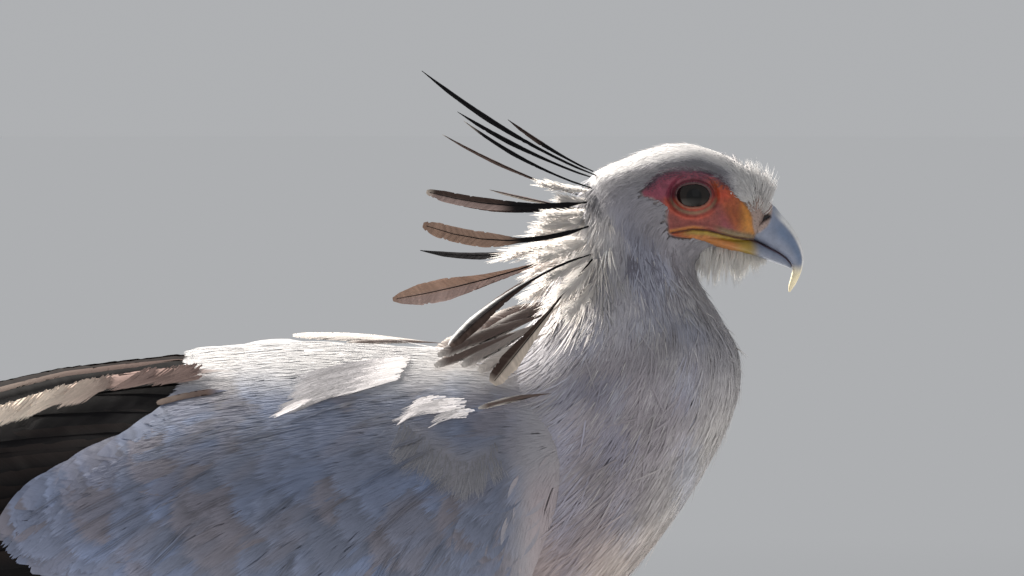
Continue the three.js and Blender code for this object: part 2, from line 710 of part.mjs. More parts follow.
// One half of the fan below the central pair: an arched strip whose outer edge steps in at each tip
function tailFan(sign) {
  const stops = [0, 60];
  for (const { length } of [...RECTRICES].reverse())
    stops.push(length * (1 - FAN.tipRound), length * 0.96, length * 0.999, length + 1);
  stops.pop();
  const shares = [0, 0.5, 1];
  const ring = (distance) => {
    const reach = fanReach(distance);
    const sag = distance * (1 - distance / CENTRE_FEATHER.length) * 2 * TAIL_RISE;
    const upper = shares.map((share) => {
      const y = lerp(FAN.inner, reach, share);
      const arch = FAN.archHeight * (y / FAN.archWidth) ** 2;
      const z = TAIL_ROOT.z - distance * Math.sin(TAIL_DROOP) + sag - TAIL_THICK - arch;
      return new THREE.Vector3(TAIL_ROOT.x - distance * Math.cos(TAIL_DROOP), sign * y, z);
    });
    const lower = upper.map((p, k) => p.clone().setZ(p.z - TAIL_THICK * (k === 2 ? 0.5 : 1)));
    return [...upper, ...lower.reverse()];
  };
  return solidOf(loft(stops.map(ring)));
}

function makeTail() {
  for (const { side, sign } of SIDES)
    place(`tail_centre_${side}`, centreFeather(sign), COLOUR.tail, FEATHERS);
  for (const { side, sign } of SIDES) place(`tail_${side}`, tailFan(sign), COLOUR.tail, FEATHERS);
}

function makeCrest() {
  PLUMES.forEach(({ root, tip, sag, width, roll }, i) => {
    const from = new THREE.Vector3(...root);
    const to = new THREE.Vector3(...tip);
    const middle = from.clone().lerp(to, 0.5);
    middle.z += 2 * sag;
    const curve = new THREE.QuadraticBezierCurve3(from, middle, to);
    const shape = { width, thick: PLUME_THICK, roll: degrees(90 - roll), profile: plumeWidth, steps: 5 };
    place(`plume_${String(i + 1).padStart(2, "0")}`, blade(curve, shape), COLOUR.black, FEATHERS);
  });
}

makeEyes();
makeBill();
makeHead();
makeNeckAndTrunk();
makeWings();
makeLeg("right", -1, FEET_X + STRIDE);
makeLeg("left", 1, FEET_X - STRIDE);
makeTail();
makeCrest();

// The origin is the middle of the floor under the whole bird
const box = new THREE.Box3().setFromObject(bird);
const centre = box.getCenter(new THREE.Vector3());
bird.position.set(-centre.x, -centre.y, -box.min.z);

export default bird;
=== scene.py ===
import bpy
import math
import numpy as np
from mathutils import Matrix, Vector
from mathutils.kdtree import KDTree


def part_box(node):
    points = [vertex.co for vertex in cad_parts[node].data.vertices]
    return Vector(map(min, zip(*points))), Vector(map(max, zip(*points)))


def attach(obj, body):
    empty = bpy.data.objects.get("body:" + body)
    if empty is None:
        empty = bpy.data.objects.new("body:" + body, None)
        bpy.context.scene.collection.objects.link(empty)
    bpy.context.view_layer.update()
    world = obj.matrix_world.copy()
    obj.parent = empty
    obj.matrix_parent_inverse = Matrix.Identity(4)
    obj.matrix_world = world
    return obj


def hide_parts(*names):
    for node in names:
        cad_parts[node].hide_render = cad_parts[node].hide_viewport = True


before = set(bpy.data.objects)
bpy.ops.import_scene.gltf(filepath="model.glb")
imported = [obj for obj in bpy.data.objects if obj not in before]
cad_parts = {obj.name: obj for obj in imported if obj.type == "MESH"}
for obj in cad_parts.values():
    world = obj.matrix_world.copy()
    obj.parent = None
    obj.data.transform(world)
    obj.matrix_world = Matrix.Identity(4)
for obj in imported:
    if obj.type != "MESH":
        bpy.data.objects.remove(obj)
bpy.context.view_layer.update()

# Shapes are worked out in millimetres in the bird's own frame, where X = 0 is near the shoulder, and moved
# to the model's frame at the end. The eye shows how far apart the two frames are.
MM = 0.001
EYE = np.array([106.7, 15.6, 934.6])
EYE_LOW, EYE_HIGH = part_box("eye_right")
SHIFT = np.array([(EYE_LOW.x + EYE_HIGH.x) / 2 - EYE[0] * MM, 0.0, 0.0])

# The photo is 1024 x 576 and shows 1.7 pixels for each millimetre at the bird
PHOTO_WIDTH = 1024
PIXELS_PER_MM = 1.7
AIM = np.array([0.0, 0.0, 880.0])
LENS = 500.0
SENSOR = 36.0
CAMERA_RISE = math.radians(2.0)

# Stations of the body: back outline X and Z, belly outline X and Z, half-width
BODY = np.array([
    (-322, 784, -314, 756, 16),
    (-264, 808, -268, 712, 48),
    (-195, 832, -206, 664, 74),
    (-125, 844, -130, 636, 87),
    (-62, 845, -60, 630, 91),
    (-18, 845, 14, 660, 89),
    (3, 850, 68, 710, 83),
    (12, 858, 106, 760, 73),
    (18, 868, 130, 806, 62),
    (23, 880, 134, 838, 52),
    (30, 894, 123, 862, 43),
    (36, 908, 113, 878, 36),
    (40, 921, 108, 889, 32),
    (42, 935, 108, 895, 30),
    (49, 948, 111, 898, 30),
    (66, 956, 115, 901, 30),
    (84, 963, 121, 903, 29.5),
    (101, 965, 127, 904.5, 28),
    (118, 961, 133, 905, 24.5),
    (133, 954, 138, 905.5, 19),
    (146, 943, 142, 906.5, 13.5),
    (151.5, 933, 144, 908.5, 8),
], float)
FACE_START = 14.0
BODY_END = len(BODY) - 1.0

UPPER_BILL = np.array([
    (141, 934, 131, 910.6, 9),
    (152.5, 929.6, 139.5, 908.9, 9),
    (158.8, 922.9, 146, 906.4, 8.2),
    (164, 917, 151, 903.6, 7.3),
    (168, 910.6, 156, 901.2, 6.2),
    (170.6, 903.8, 160.6, 898.2, 5.1),
    (171.6, 898, 163.8, 894.6, 4.2),
    (171.1, 893, 164.8, 890.8, 3.3),
    (169.6, 888, 164, 886.4, 2.4),
    (167, 882.6, 162.8, 881.8, 1.5),
    (163.6, 877.6, 162.6, 877.9, 0.5),
], float)
LOWER_BILL = np.array([
    (95, 913.2, 96, 909.4, 20.5),
    (107, 915, 107.5, 907.6, 20),
    (120, 913, 118.5, 904.6, 17),
    (131, 910.2, 128.5, 902, 13.2),
    (140, 908, 137, 900.4, 10),
    (148, 904.4, 146, 898, 7.6),
    (156, 900.6, 154.5, 895, 5.2),
    (161.5, 896.6, 160.5, 892.9, 3.2),
    (164.6, 892.6, 164.3, 891.4, 0.8),
], float)

BALL_RADIUS = 13.2
LID_MIDDLE = np.array([106.3, 935.3])
LID_HALF = np.array([10.3, 7.2])
LID_THICK = 0.9
BARB_SLANT = 1.1


def spline(rows, t):
    """Smooth interpolation over equally spaced rows, as the solids use it."""
    t = np.asarray(t, float)
    last = len(rows) - 1
    i = np.clip(np.floor(t).astype(int), 0, last - 1)
    a, b, c, d = (rows[np.clip(i + k, 0, last)] for k in (-1, 0, 1, 2))
    u = (t - i)[..., None]
    return b + 0.5 * u * (c - a + u * (2 * a - 5 * b + 4 * c - d + u * (3 * (b - c) + d - a)))


def smooth(low, high, x):
    """0 below low, 1 above high, and a smooth rise between."""
    u = np.clip((x - low) / (high - low), 0.0, 1.0)
    return u * u * (3.0 - 2.0 * u)


def bell(x, width):
    return np.exp(-((x / width) ** 2))


def turns(count):
    """Angles once round."""
    return np.linspace(0, 2 * math.pi, count, endpoint=False)


def grid_of(rows, columns):
    return np.meshgrid(rows, columns, indexing="ij")


def unit(v):
    return v / np.maximum(np.linalg.norm(v, axis=-1, keepdims=True), 1e-9)


def headings(points):
    """Directions along lines of points."""
    return unit(np.gradient(points, axis=0))


def bent(u, start, middle, end):
    """A curve from start to end that leaves and arrives towards middle."""
    return (1 - u) ** 2 * start + 2 * u * (1 - u) * middle + u ** 2 * end


def profile(rows, t, angle, boxy=1.0):
    """A point of an oval section form: angle 0 is the back line, pi the belly line, +Y between."""
    r = spline(rows, t)
    share = (1 + np.cos(angle)) / 2
    x = r[..., 2] + (r[..., 0] - r[..., 2]) * share
    z = r[..., 3] + (r[..., 1] - r[..., 3]) * share
    s = np.sin(angle)
    return np.stack([x, r[..., 4] * np.sign(s) * np.abs(s) ** boxy, z], -1)


def lid_distance(p):
    """Distance in the side view from the edge of the eyelids, negative inside them."""
    dx = p[..., 0] - LID_MIDDLE[0]
    dz = p[..., 2] - LID_MIDDLE[1]
    near = np.hypot(dx, dz)
    ratio = (np.abs(dx / LID_HALF[0]) ** 2.1 + np.abs(dz / LID_HALF[1]) ** 2.1) ** (1 / 2.1)
    return near * (1 - 1 / np.maximum(ratio, 1e-3))


# The cutting edge of the closed bill in the side view, from the gape forwards
MOUTH = np.array([
    (88, 913), (92.4, 913.1), (105.8, 915.4), (114.8, 914.7), (131.2, 910.2), (139.5, 908.6), (146, 906.2),
    (151, 903.5), (156, 901), (160.6, 898), (163.8, 894.4), (165, 890.5),
])


def height_at(line, x):
    """Height of a line of the side view."""
    return np.interp(x, line[:, 0], line[:, 1])


def mouth_line(x):
    return height_at(MOUTH, x)


def lid_rings(d, dx, dz):
    """Height of the folds round the eye, with the line that runs from its corner."""
    below = smooth(0.1, -0.5, dz / LID_HALF[1])
    above = smooth(-0.1, 0.5, dz / LID_HALF[1])
    rings = 0.35 * bell(d - 0.5, 0.5)
    rings -= 0.5 * bell(d - 1.6, 0.35) * below + 0.9 * bell(d - 2.0, 0.5) * above
    rings += 0.2 * bell(d - 3.2, 0.9) * below
    rings -= 0.45 * bell(d - 4.8, 0.4) * below
    rings += 0.75 * bell(d - 6.2, 0.9) * below
    rings -= 0.5 * bell(d - 8.0, 0.6) * below
    canthus = bell((dz - 0.4 + 0.05 * dx) / 0.8, 1) * smooth(-17, -13, dx) * smooth(-9, -12, dx)
    return rings - 1.1 * canthus


def carve_face(p):
    """Moves head points along Y into the relief of the face."""
    dx = p[..., 0] - EYE[0]
    dz = p[..., 2] - EYE[2]
    near = np.hypot(dx, dz)
    side = np.abs(p[..., 1])
    flank = smooth(4, 13, side)
    hollow = 2.6 * bell(near, 17)
    lore = 2.2 * bell((dx - 24) / 11, 1) * bell((dz + 8) / 8, 1)
    brow = 3.4 * bell((dx - 5) / 18, 1) * bell((dz - 13.2) / 3.8, 1)
    base = side + flank * (brow - hollow - lore)
    d = lid_distance(p)
    ball = EYE[1] + np.sqrt(np.maximum(BALL_RADIUS ** 2 - near ** 2, 0.0))
    lid = ball + LID_THICK * smooth(-0.9, 0.1, d)
    share = smooth(0, 6.5, d)
    y = lid * (1 - share) + base * share + lid_rings(d, dx, dz) * smooth(16, 9, near)
    pocket = ball - 2.2
    y = np.where(d < 0.0, pocket + (y - pocket) * smooth(-1.1, -0.7, d), y)
    y = np.where(near < BALL_RADIUS + 12, side + (y - side) * flank, base)
    lip = p[..., 2] - mouth_line(p[..., 0])
    cheek = smooth(90, 93, p[..., 0]) * smooth(150, 140, p[..., 0]) * flank
    y -= cheek * (1.6 * bell(lip, 0.7) - 0.9 * bell(lip - 2.2, 1.4))
    wrinkle = np.sin(1.5 * p[..., 0] + 2.2 * np.sin(0.45 * p[..., 2]))
    y += 0.14 * wrinkle * smooth(118, 124, p[..., 0]) * flank
    out = p.copy()
    out[..., 1] = np.where(side < 1e-6, p[..., 1], np.sign(p[..., 1]) * y)
    return out


def body(t, angle):
    """The body's outer form, with the face's relief on the head."""
    p = profile(BODY, t, angle)
    weight = smooth(FACE_START - 1, FACE_START + 0.5, np.asarray(t, float))[..., None]
    return p + (carve_face(p) - p) * weight


def to_frame(p):
    return np.asarray(p) * MM + SHIFT


def paint(mesh, tint):
    colour = np.ones((len(mesh.vertices), 4), np.float32)
    colour[:, :3] = tint
    mesh.attributes.new("tint", "FLOAT_COLOR", "POINT").data.foreach_set("color", colour.ravel())


def corner_points(mesh):
    """The point at each corner of the mesh's faces."""
    corners = np.empty(len(mesh.loops), np.int32)
    mesh.loops.foreach_get("vertex_index", corners)
    return corners


def add_map(mesh, uv):
    mesh.uv_layers.new(name="OFBake").data.foreach_set("uv", uv.astype(np.float32).ravel())


def add_piece(name, mesh, material):
    mesh.materials.append(material)
    piece = bpy.data.objects.new(name, mesh)
    bpy.context.collection.objects.link(piece)
    return piece


def tree_of(points):
    tree = KDTree(len(points))
    for i, point in enumerate(points.tolist()):
        tree.insert(point, i)
    tree.balance()
    return tree


def add_mesh(name, points, quads, material, tint, lane=None, uv=None, normals=None):
    """One smooth mesh object from arrays of points and four-cornered faces."""
    mesh = bpy.data.meshes.new(name)
    mesh.vertices.add(len(points))
    mesh.vertices.foreach_set("co", to_frame(points).astype(np.float32).ravel())
    mesh.loops.add(quads.size)
    mesh.loops.foreach_set("vertex_index", quads.astype(np.int32).ravel())
    mesh.polygons.add(len(quads))
    mesh.polygons.foreach_set("loop_start", np.arange(0, quads.size, 4, dtype=np.int32))
    mesh.update(calc_edges=True)
    mesh.validate()
    mesh.shade_smooth()
    paint(mesh, tint)
    if lane is not None:
        lanes = mesh.attributes.new("lane", "FLOAT_VECTOR", "POINT")
        lanes.data.foreach_set("vector", lane.astype(np.float32).ravel())
    if uv is not None:
        add_map(mesh, uv[corner_points(mesh)])
    if normals is not None:
        mesh.normals_split_custom_set_from_vertices(normals.astype(np.float32))
    piece = add_piece(name, mesh, material)
    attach(piece, "root")
    return piece


def grid_quads(rows, columns, wrap=False):
    """Faces of a grid of points, row after row."""
    r, c = grid_of(np.arange(rows - 1), np.arange(columns if wrap else columns - 1))
    n = (c + 1) % columns
    corners = (r * columns + c, r * columns + n, (r + 1) * columns + n, (r + 1) * columns + c)
    return np.stack(corners, -1).reshape(-1, 4)


def add_nodes(name, **sockets):
    """A material with values on its shader's sockets, and functions that add a node and a link."""
    material = bpy.data.materials.new(name)
    material.use_nodes = True
    tree = material.node_tree
    shader = tree.nodes["Principled BSDF"]

    def node(kind, **values):
        made = tree.nodes.new("ShaderNode" + kind)
        for key, value in values.items():
            if key in made.inputs:
                made.inputs[key].default_value = value
            else:
                setattr(made, key.lower(), value)
        return made

    def link(a, output, b, entry):
        tree.links.new(a.outputs[output], b.inputs[entry])

    for key, value in sockets.items():
        shader.inputs[key].default_value = value
    return material, shader, node, link


def map_range(node, low, high, dark, light):
    return node("MapRange", **{"From Min": low, "From Max": high, "To Min": dark, "To Max": light})


def tinted(parts, noise, tones, relief, output, strength, depth):
    """Base colour from the mesh's tint times a noise between two tones, and a bump from a relief texture."""
    material, shader, node, link = parts
    tint = node("Attribute", attribute_name="tint")
    shade = map_range(node, *tones)
    colour = node("VectorMath", operation="MULTIPLY")
    bump = node("Bump", Strength=strength, Distance=depth)
    link(noise, "Fac", shade, "Value")
    link(tint, "Color", colour, 0)
    link(shade, "Result", colour, 1)
    link(colour, "Vector", shader, "Base Color")
    link(relief, output, bump, "Height")
    link(bump, "Normal", shader, "Normal")
    return material


def skin_material():
    parts = add_nodes("bare_skin", **{
        "Roughness": 0.5, "Subsurface Weight": 0.08, "Subsurface Radius": (0.002, 0.0008, 0.0006),
    })
    _, _, node, link = parts
    place = node("TexCoord")
    mottle = node("TexNoise", Scale=420.0, Detail=4.0, Roughness=0.6)
    pebbles = node("TexVoronoi", Scale=900.0)
    link(place, "Object", mottle, "Vector")
    link(place, "Object", pebbles, "Vector")
    return tinted(parts, mottle, (0.3, 0.75, 0.72, 1.18), pebbles, "Distance", 0.35, 0.0006)


def horn_material():
    parts = add_nodes("bill_horn", Roughness=0.36)
    _, _, node, link = parts
    streaks = node("TexNoise", Scale=260.0, Detail=5.0, Roughness=0.65)
    link(node("TexCoord"), "Object", streaks, "Vector")
    return tinted(parts, streaks, (0.3, 0.75, 0.82, 1.12), streaks, "Fac", 0.25, 0.0004)


def feather_material(name, **sockets):
    """Barbs run out and forwards from the shaft: lane holds the share along, across and a seed."""
    parts = add_nodes(name, **{"Sheen Roughness": 0.5, **sockets})
    _, _, node, link = parts
    lane = node("Attribute", attribute_name="lane")
    split = node("SeparateXYZ")
    across = node("Math", operation="ABSOLUTE")
    slant = node("Math", operation="MULTIPLY")
    slant.inputs[1].default_value = BARB_SLANT
    line = node("Math", operation="SUBTRACT")
    point = node("CombineXYZ")
    barbs = node("TexNoise", Scale=55.0, Detail=3.0, Roughness=0.7)
    for chain in (
        (lane, "Vector", split, "Vector"), (split, "Y", across, 0), (across, "Value", slant, 0),
        (split, "X", line, 0), (slant, "Value", line, 1), (line, "Value", point, "X"),
        (split, "Z", point, "Y"), (point, "Vector", barbs, "Vector"),
    ):
        link(*chain)
    return tinted(parts, barbs, (0.3, 0.7, 0.88, 1.07), barbs, "Fac", 0.25, 0.0004)


def rgb(*channels):
    """A linear colour."""
    return np.array(channels)


CRIMSON = rgb(0.25, 0.05, 0.085)
SCARLET = rgb(0.47, 0.06, 0.025)
ORANGE = rgb(0.30, 0.068, 0.018)
AMBER = rgb(0.50, 0.20, 0.03)
PINK = rgb(0.245, 0.058, 0.048)
SALMON = rgb(0.45, 0.078, 0.046)
OLIVE = rgb(0.23, 0.16, 0.085)
LID_RIM = rgb(0.07, 0.05, 0.045)
LID_PINK = rgb(0.30, 0.12, 0.07)
# Painted shade for the folds, grooves and hollows of the face and bill
CREASE_SHADE = rgb(0.09, 0.018, 0.02)
DUSKY = rgb(0.10, 0.055, 0.085)
GREY_SKIN = rgb(0.30, 0.27, 0.28)
CERE = rgb(0.36, 0.27, 0.24)
BLUE_HORN = rgb(0.235, 0.27, 0.365)
DEEP_HORN = rgb(0.13, 0.19, 0.31)
PALE_HORN = rgb(0.40, 0.40, 0.45)
CREAM_HORN = rgb(1.0, 0.88, 0.6)
YELLOW_HORN = rgb(0.31, 0.20, 0.024)
GAPE_ORANGE = rgb(0.45, 0.165, 0.035)
GAPE_RED = rgb(0.38, 0.08, 0.03)
SHANK_PINK = rgb(0.50, 0.32, 0.27)
IRIS = rgb(0.012, 0.008, 0.006)
PUPIL = rgb(0.001, 0.001, 0.001)
EYE_RIM = rgb(0.006, 0.005, 0.005)
# Painted highlight for the top of the bill's ridge
PAINTED_RIDGE_HIGHLIGHT = rgb(0.9, 0.89, 0.87)
# Painted shade for the hollow of the nostril
NOSTRIL_SHADE = rgb(0.01, 0.01, 0.012)
CLAW_BLACK = rgb(0.030, 0.026, 0.026)
CLAW_WORN = rgb(0.11, 0.09, 0.085)
SPECKLE = rgb(0.085, 0.068, 0.085)

# Outline of the bare red skin in the side view, as X and Z
BARE_PATCH = np.array([
    (76, 937.6), (87.6, 948.8), (96.5, 950.6), (107.6, 950.9), (118.2, 948.2), (126.5, 942.9),
    (132.9, 934.7), (138.8, 927.6), (141, 922), (141.5, 916), (144, 908), (141, 899.2), (132.8, 901),
    (120.2, 904.8), (105.8, 909.2), (95, 911.2), (91.8, 913), (91.2, 921.2), (90.6, 928.2), (82.4, 933.8),
    (77, 934.7),
])


def outline_distance(outline, x, z):
    """Distance to a closed outline in the side view, negative inside."""
    best = np.full(np.shape(x), 1e9)
    inside = np.zeros(np.shape(x), bool)
    for (x0, z0), (x1, z1) in zip(outline, np.roll(outline, -1, axis=0)):
        ex, ez = x1 - x0, z1 - z0
        u = np.clip(((x - x0) * ex + (z - z0) * ez) / (ex * ex + ez * ez), 0, 1)
        best = np.minimum(best, np.hypot(x - x0 - u * ex, z - z0 - u * ez))
        crosses = (z0 > z) != (z1 > z)
        if abs(ez) > 1e-9:
            inside ^= crosses & (x < x0 + ex * (z - z0) / ez)
    return np.where(inside, -best, best)


def face_distance(p):
    """Distance in the side view from the edge of the bare red skin, negative inside it."""
    return outline_distance(BARE_PATCH, p[..., 0], p[..., 2])


def mix(a, b, share):
    return a + (b - a) * np.asarray(share)[..., None]


def mandible_colour(p):
    """Side of the lower bill: red at the gape, then yellow, with an orange underside, then blue-grey."""
    x, z = p[..., 0], p[..., 2]
    c = YELLOW_HORN
    deep = mouth_line(x) - z
    c = mix(c, GAPE_ORANGE, smooth(2.0, 4.2, deep) * smooth(138, 128, x))
    c = mix(c, GAPE_RED, smooth(108, 95, x))
    return mix(c, BLUE_HORN * 0.85, smooth(139, 147, x)) * (1 + 0.05 * ripple(p, 5, 15))[..., None]


def face_colour(p):
    """Colours of the bare face."""
    x, z = p[..., 0], p[..., 2]
    dx, dz = x - EYE[0], z - EYE[2]
    d = lid_distance(p)
    below = smooth(0.15, -0.4, dz / LID_HALF[1])
    c = CRIMSON
    c = mix(c, PINK, smooth(2, -8, dz) * smooth(24, 12, dx))
    front = smooth(9, 17, dx + 0.5 * dz)
    c = mix(c, ORANGE, front * smooth(14, 6, dz))
    c = mix(c, SCARLET, bell((dx - 17) / 5, 1) * bell((dz - 1) / 5, 1))
    c = mix(c, AMBER, smooth(24, 32, dx) * smooth(4, -8, dz))
    c = mix(c, OLIVE, 0.8 * bell((d - 3.2) / 1.0, 1) * below)
    c = mix(c, SALMON, bell((d - 6.2) / 1.5, 1) * below * smooth(14, 9, dx))
    c = mix(c, SCARLET * 0.8, bell((d - 1.3) / 0.7, 1) * below)
    # Painted shade in the fold above the upper lid
    c = mix(c, CREASE_SHADE, 0.75 * bell((d - 1.9) / 0.6, 1) * (1 - below))
    c = mix(c, LID_RIM, bell(d / 0.8, 1) * (1 - below))
    c = mix(c, LID_PINK, bell((d - 0.2) / 0.7, 1) * below)
    # Painted shade in the pocket just inside the lids
    c = mix(c, CREASE_SHADE, smooth(-0.6, -1.0, d))
    lip = z - mouth_line(x)
    c = mix(c, OLIVE * 0.9, smooth(116, 126, x) * smooth(5.5, 2.5, lip))
    c = mix(c, GAPE_ORANGE, smooth(3.0, 1.0, lip) * smooth(118, 106, x))
    c = mix(c, mandible_colour(p), smooth(0.4, -0.4, lip))
    # Painted shade along the groove of the mouth
    c = mix(c, CREASE_SHADE * 0.8, bell(lip / 0.55, 1) * smooth(90, 94, x))
    edge = face_distance(p) + 0.8 * ripple(p, 3, 7)
    c = mix(c, DUSKY, 0.75 * smooth(-3.5, -0.5, edge) * smooth(936, 944, z))
    return c * (1 + 0.07 * ripple(p, 6, 5) + 0.05 * ripple(p, 2.5, 6))[..., None]


def skin_colour(p):
    """The whole skin: red face, and grey skin under the feathers."""
    bare = smooth(1.0, -1.0, face_distance(p))
    bare = bare * smooth(5, 11, np.abs(p[..., 1]))
    cere = smooth(134, 139, p[..., 0]) * smooth(936, 931, p[..., 2])
    dots = smooth(0.5, 0.8, ripple(p, 1.8, 8))
    c = mix(GREY_SKIN, mix(CERE, CERE * 0.4, 0.6 * dots), cere)
    c = mix(c, SOOT, smooth(-185, -200, p[..., 0]) * smooth(730, 760, p[..., 2]))
    return mix(c, face_colour(p), bare)


def spaced(low, high, density, fine):
    """Stations from low to high, as far apart as fine says at each."""
    out = [low]
    while out[-1] < high:
        out.append(out[-1] + fine(out[-1]) / density)
    out[-1] = high
    return np.array(out)


def coat_depth(t):
    """How deep the skin lies under the coat's surface, along the body."""
    return np.interp(t, [0, 1, 6, 9, 11.5, 13.5, 15, BODY_END], [3, 7, 8, 7, 5, 2.4, 1.4, 0.8])


def bareness(p):
    """1 on the bare face and at the bill, 0 in the feathers."""
    inside = smooth(1.5, -1.5, face_distance(p))
    inside = np.maximum(inside, smooth(141, 146, p[..., 0]))
    return inside * smooth(5, 11, np.abs(p[..., 1]))


def form_frame(form, t, angle):
    """Point, the two tangents and the outward normal of a form."""
    e = 0.01
    p = form(t, angle)
    along = (form(t + e, angle) - form(t - e, angle)) / (2 * e)
    round_ = (form(t, angle + e) - form(t, angle - e)) / (2 * e)
    return p, along, round_, unit(np.cross(along, round_))


def make_eye(side, sign, material):
    """A smooth ball with a slight bulge of the cornea over the iris."""
    polar = np.linspace(0, 0.62 * math.pi, 48)
    turn = turns(64)
    P, T = grid_of(polar, turn)
    radius = BALL_RADIUS + 0.5 * smooth(0.6, 0.0, P)
    p = np.stack([np.sin(P) * np.cos(T), np.cos(P), np.sin(P) * np.sin(T)], -1) * radius[..., None]
    p = p + EYE
    p[..., 1] *= sign
    quads = grid_quads(*P.shape, wrap=True)
    if sign > 0:
        quads = quads[:, ::-1]
    pupil = smooth(0.36, 0.33, P)
    rim = smooth(0.66, 0.74, P)
    c = mix(mix(IRIS, PUPIL, pupil), EYE_RIM, rim)
    piece = add_mesh("eyeball_" + side, p.reshape(-1, 3), quads, material, c.reshape(-1, 3))
    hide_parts("eye_" + side)
    return piece


def eye_material():
    material, shader, node, link = add_nodes("eye_gloss", Roughness=0.1, IOR=1.38)
    link(node("Attribute", attribute_name="tint"), "Color", shader, "Base Color")
    return material


NOSTRIL = np.array([(141.8, 917.2), (150.8, 922.7)])


def segment_distance(p, a, b):
    e = b - a
    x, z = p[..., 0] - a[0], p[..., 2] - a[1]
    u = np.clip((x * e[0] + z * e[1]) / (e @ e), 0, 1)
    return np.hypot(x - u * e[0], z - u * e[1])


def upper_bill_colour(t, p, share, slit, cere_end):
    """Blue-grey horn with a painted ridge highlight and a cream tip; speckled cere; nostril painted dark as
    shade.
    """
    c = BLUE_HORN
    c = mix(c, PALE_HORN, 0.75 * smooth(-0.2, 0.8, ripple(p, 14, 13)) * smooth(0.75, 0.3, share))
    c = mix(c, DEEP_HORN, 0.8 * bell((share - 0.66) / 0.2, 1) * smooth(1.2, 3.0, t) * smooth(7.5, 5.5, t))
    # Painted highlight: a near-white band along the top of the ridge stands in for the light that catches it
    c = mix(c, PAINTED_RIDGE_HIGHLIGHT, 0.85 * smooth(0.8, 0.92, share) * smooth(1.0, 2.5, t))
    c = mix(c, CREAM_HORN, smooth(895, 886, p[..., 2] + 0.5 * ripple(p, 5, 14)))
    dots = smooth(0.4, 0.7, ripple(p, 1.8, 8)) * smooth(0.9, 0.6, share)
    cere = mix(CERE * (1 + 0.3 * ripple(p, 2.6, 19))[..., None], CERE * 0.35, 0.6 * dots)
    c = mix(c, cere, smooth(0.9, -0.9, cere_end))
    above = bell((p[..., 2] - mouth_line(p[..., 0])) / 0.6, 1) * smooth(892, 895, p[..., 2])
    # Painted shade in the groove just above the mouth line
    c = mix(c, CREASE_SHADE * 0.8, 0.8 * above * smooth(165, 163.5, p[..., 0]))
    # Painted shade: the nostril's hollow is painted near black
    return mix(c, NOSTRIL_SHADE, smooth(1.3, 0.7, slit))


def make_upper_bill(material):
    """The hooked upper half of the bill, with the cere's edge and the open nostril."""
    def form(t, angle):
        return profile(UPPER_BILL, t, angle, 0.8)

    t = np.linspace(0, len(UPPER_BILL) - 1, 150)
    angle = turns(96)
    T, A = grid_of(t, angle)
    p, _, _, normal = form_frame(form, T, A)
    slit = segment_distance(p, *NOSTRIL) - 0.35
    cere_end = np.hypot(p[..., 0] - 138, p[..., 2] - 925.5) - 14.8 + 0.5 * ripple(p, 9, 3)
    lift = 0.35 * smooth(0.6, -0.6, cere_end) - 2.4 * smooth(1.5, 0.6, slit)
    lift += 0.3 * bell((slit - 2.2) / 0.7, 1)
    lift += 0.1 * np.sin(1.7 * p[..., 2] + 0.9 * p[..., 0]) * smooth(1, -2, cere_end)
    p = p + normal * lift[..., None]
    share = (1 + np.cos(A)) / 2
    quads = grid_quads(*T.shape, wrap=True)[:, ::-1]
    c = upper_bill_colour(T, p, share, slit, cere_end)
    piece = add_mesh("bill_top", p.reshape(-1, 3), quads, material, c.reshape(-1, 3))
    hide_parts("bill_upper")


def make_lower_bill(material):
    """The lower half of the bill, closed under the upper one."""
    t = np.linspace(0, len(LOWER_BILL) - 1, 110)
    angle = turns(72)
    T, A = grid_of(t, angle)
    p = profile(LOWER_BILL, T, A, 0.75)
    share = (1 + np.cos(A)) / 2
    p[..., 1] *= 1.05
    p[..., 2] += 1.2 * share * smooth(2.5, 4.0, T)
    c = mandible_colour(p)
    # Painted shade along the top of the lower bill, where it closes under the upper one
    c = mix(c, CREASE_SHADE * 0.8, 0.8 * smooth(-0.9, 0.0, p[..., 2] - mouth_line(p[..., 0])))
    quads = grid_quads(*T.shape, wrap=True)[:, ::-1]
    piece = add_mesh("bill_bottom", p.reshape(-1, 3), quads, material, c.reshape(-1, 3))
    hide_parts("bill_lower")


class Pile:
    """Gathers many small strips of mesh into one piece. They share a random source and a form to grow on."""

    def __init__(self, source, form=None, low=0.0, high=0.0):
        self.dice = np.random.default_rng(source)
        self.form = form
        self.place = form and unwrap(form, low, high)
        self.parts = {"points": [], "quads": [], "tint": [], "lane": [], "uv": [], "normals": []}
        self.count = 0

    def add(self, points, quads, tint, lane, uv, normals):
        self.parts["quads"].append(quads + self.count)
        size = points.size // 3
        self.count += size
        given = {"points": points, "tint": tint, "lane": lane, "normals": unit(normals)}
        for key, part in given.items():
            self.parts[key].append(np.broadcast_to(part, points.shape).reshape(-1, 3))
        self.parts["uv"].append(uv.reshape(-1, 2))

    def build(self, name, material, slot, *nodes, mirror=False):
        merged = {key: np.concatenate(parts) for key, parts in self.parts.items()}
        if mirror:
            merged["points"] = merged["points"] * (1, -1, 1)
            merged["normals"] = merged["normals"] * (1, -1, 1)
            merged["quads"] = merged["quads"][:, ::-1]
        piece = add_mesh(name, material=material, **merged)
        if nodes:
            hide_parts(*nodes)


def ribbons(lines, across, half):
    """The two edges of strips along lines, one strip after the other."""
    return np.stack([lines - across * half, lines + across * half], 2).transpose(1, 0, 2, 3)


def strip_quads(count, rows, columns):
    """Faces of many equal grids of points, one after the other."""
    base = grid_quads(rows, columns)[:, ::-1]
    shift = np.arange(count) * rows * columns
    return (base[None] + shift[:, None, None]).reshape(-1, 4)


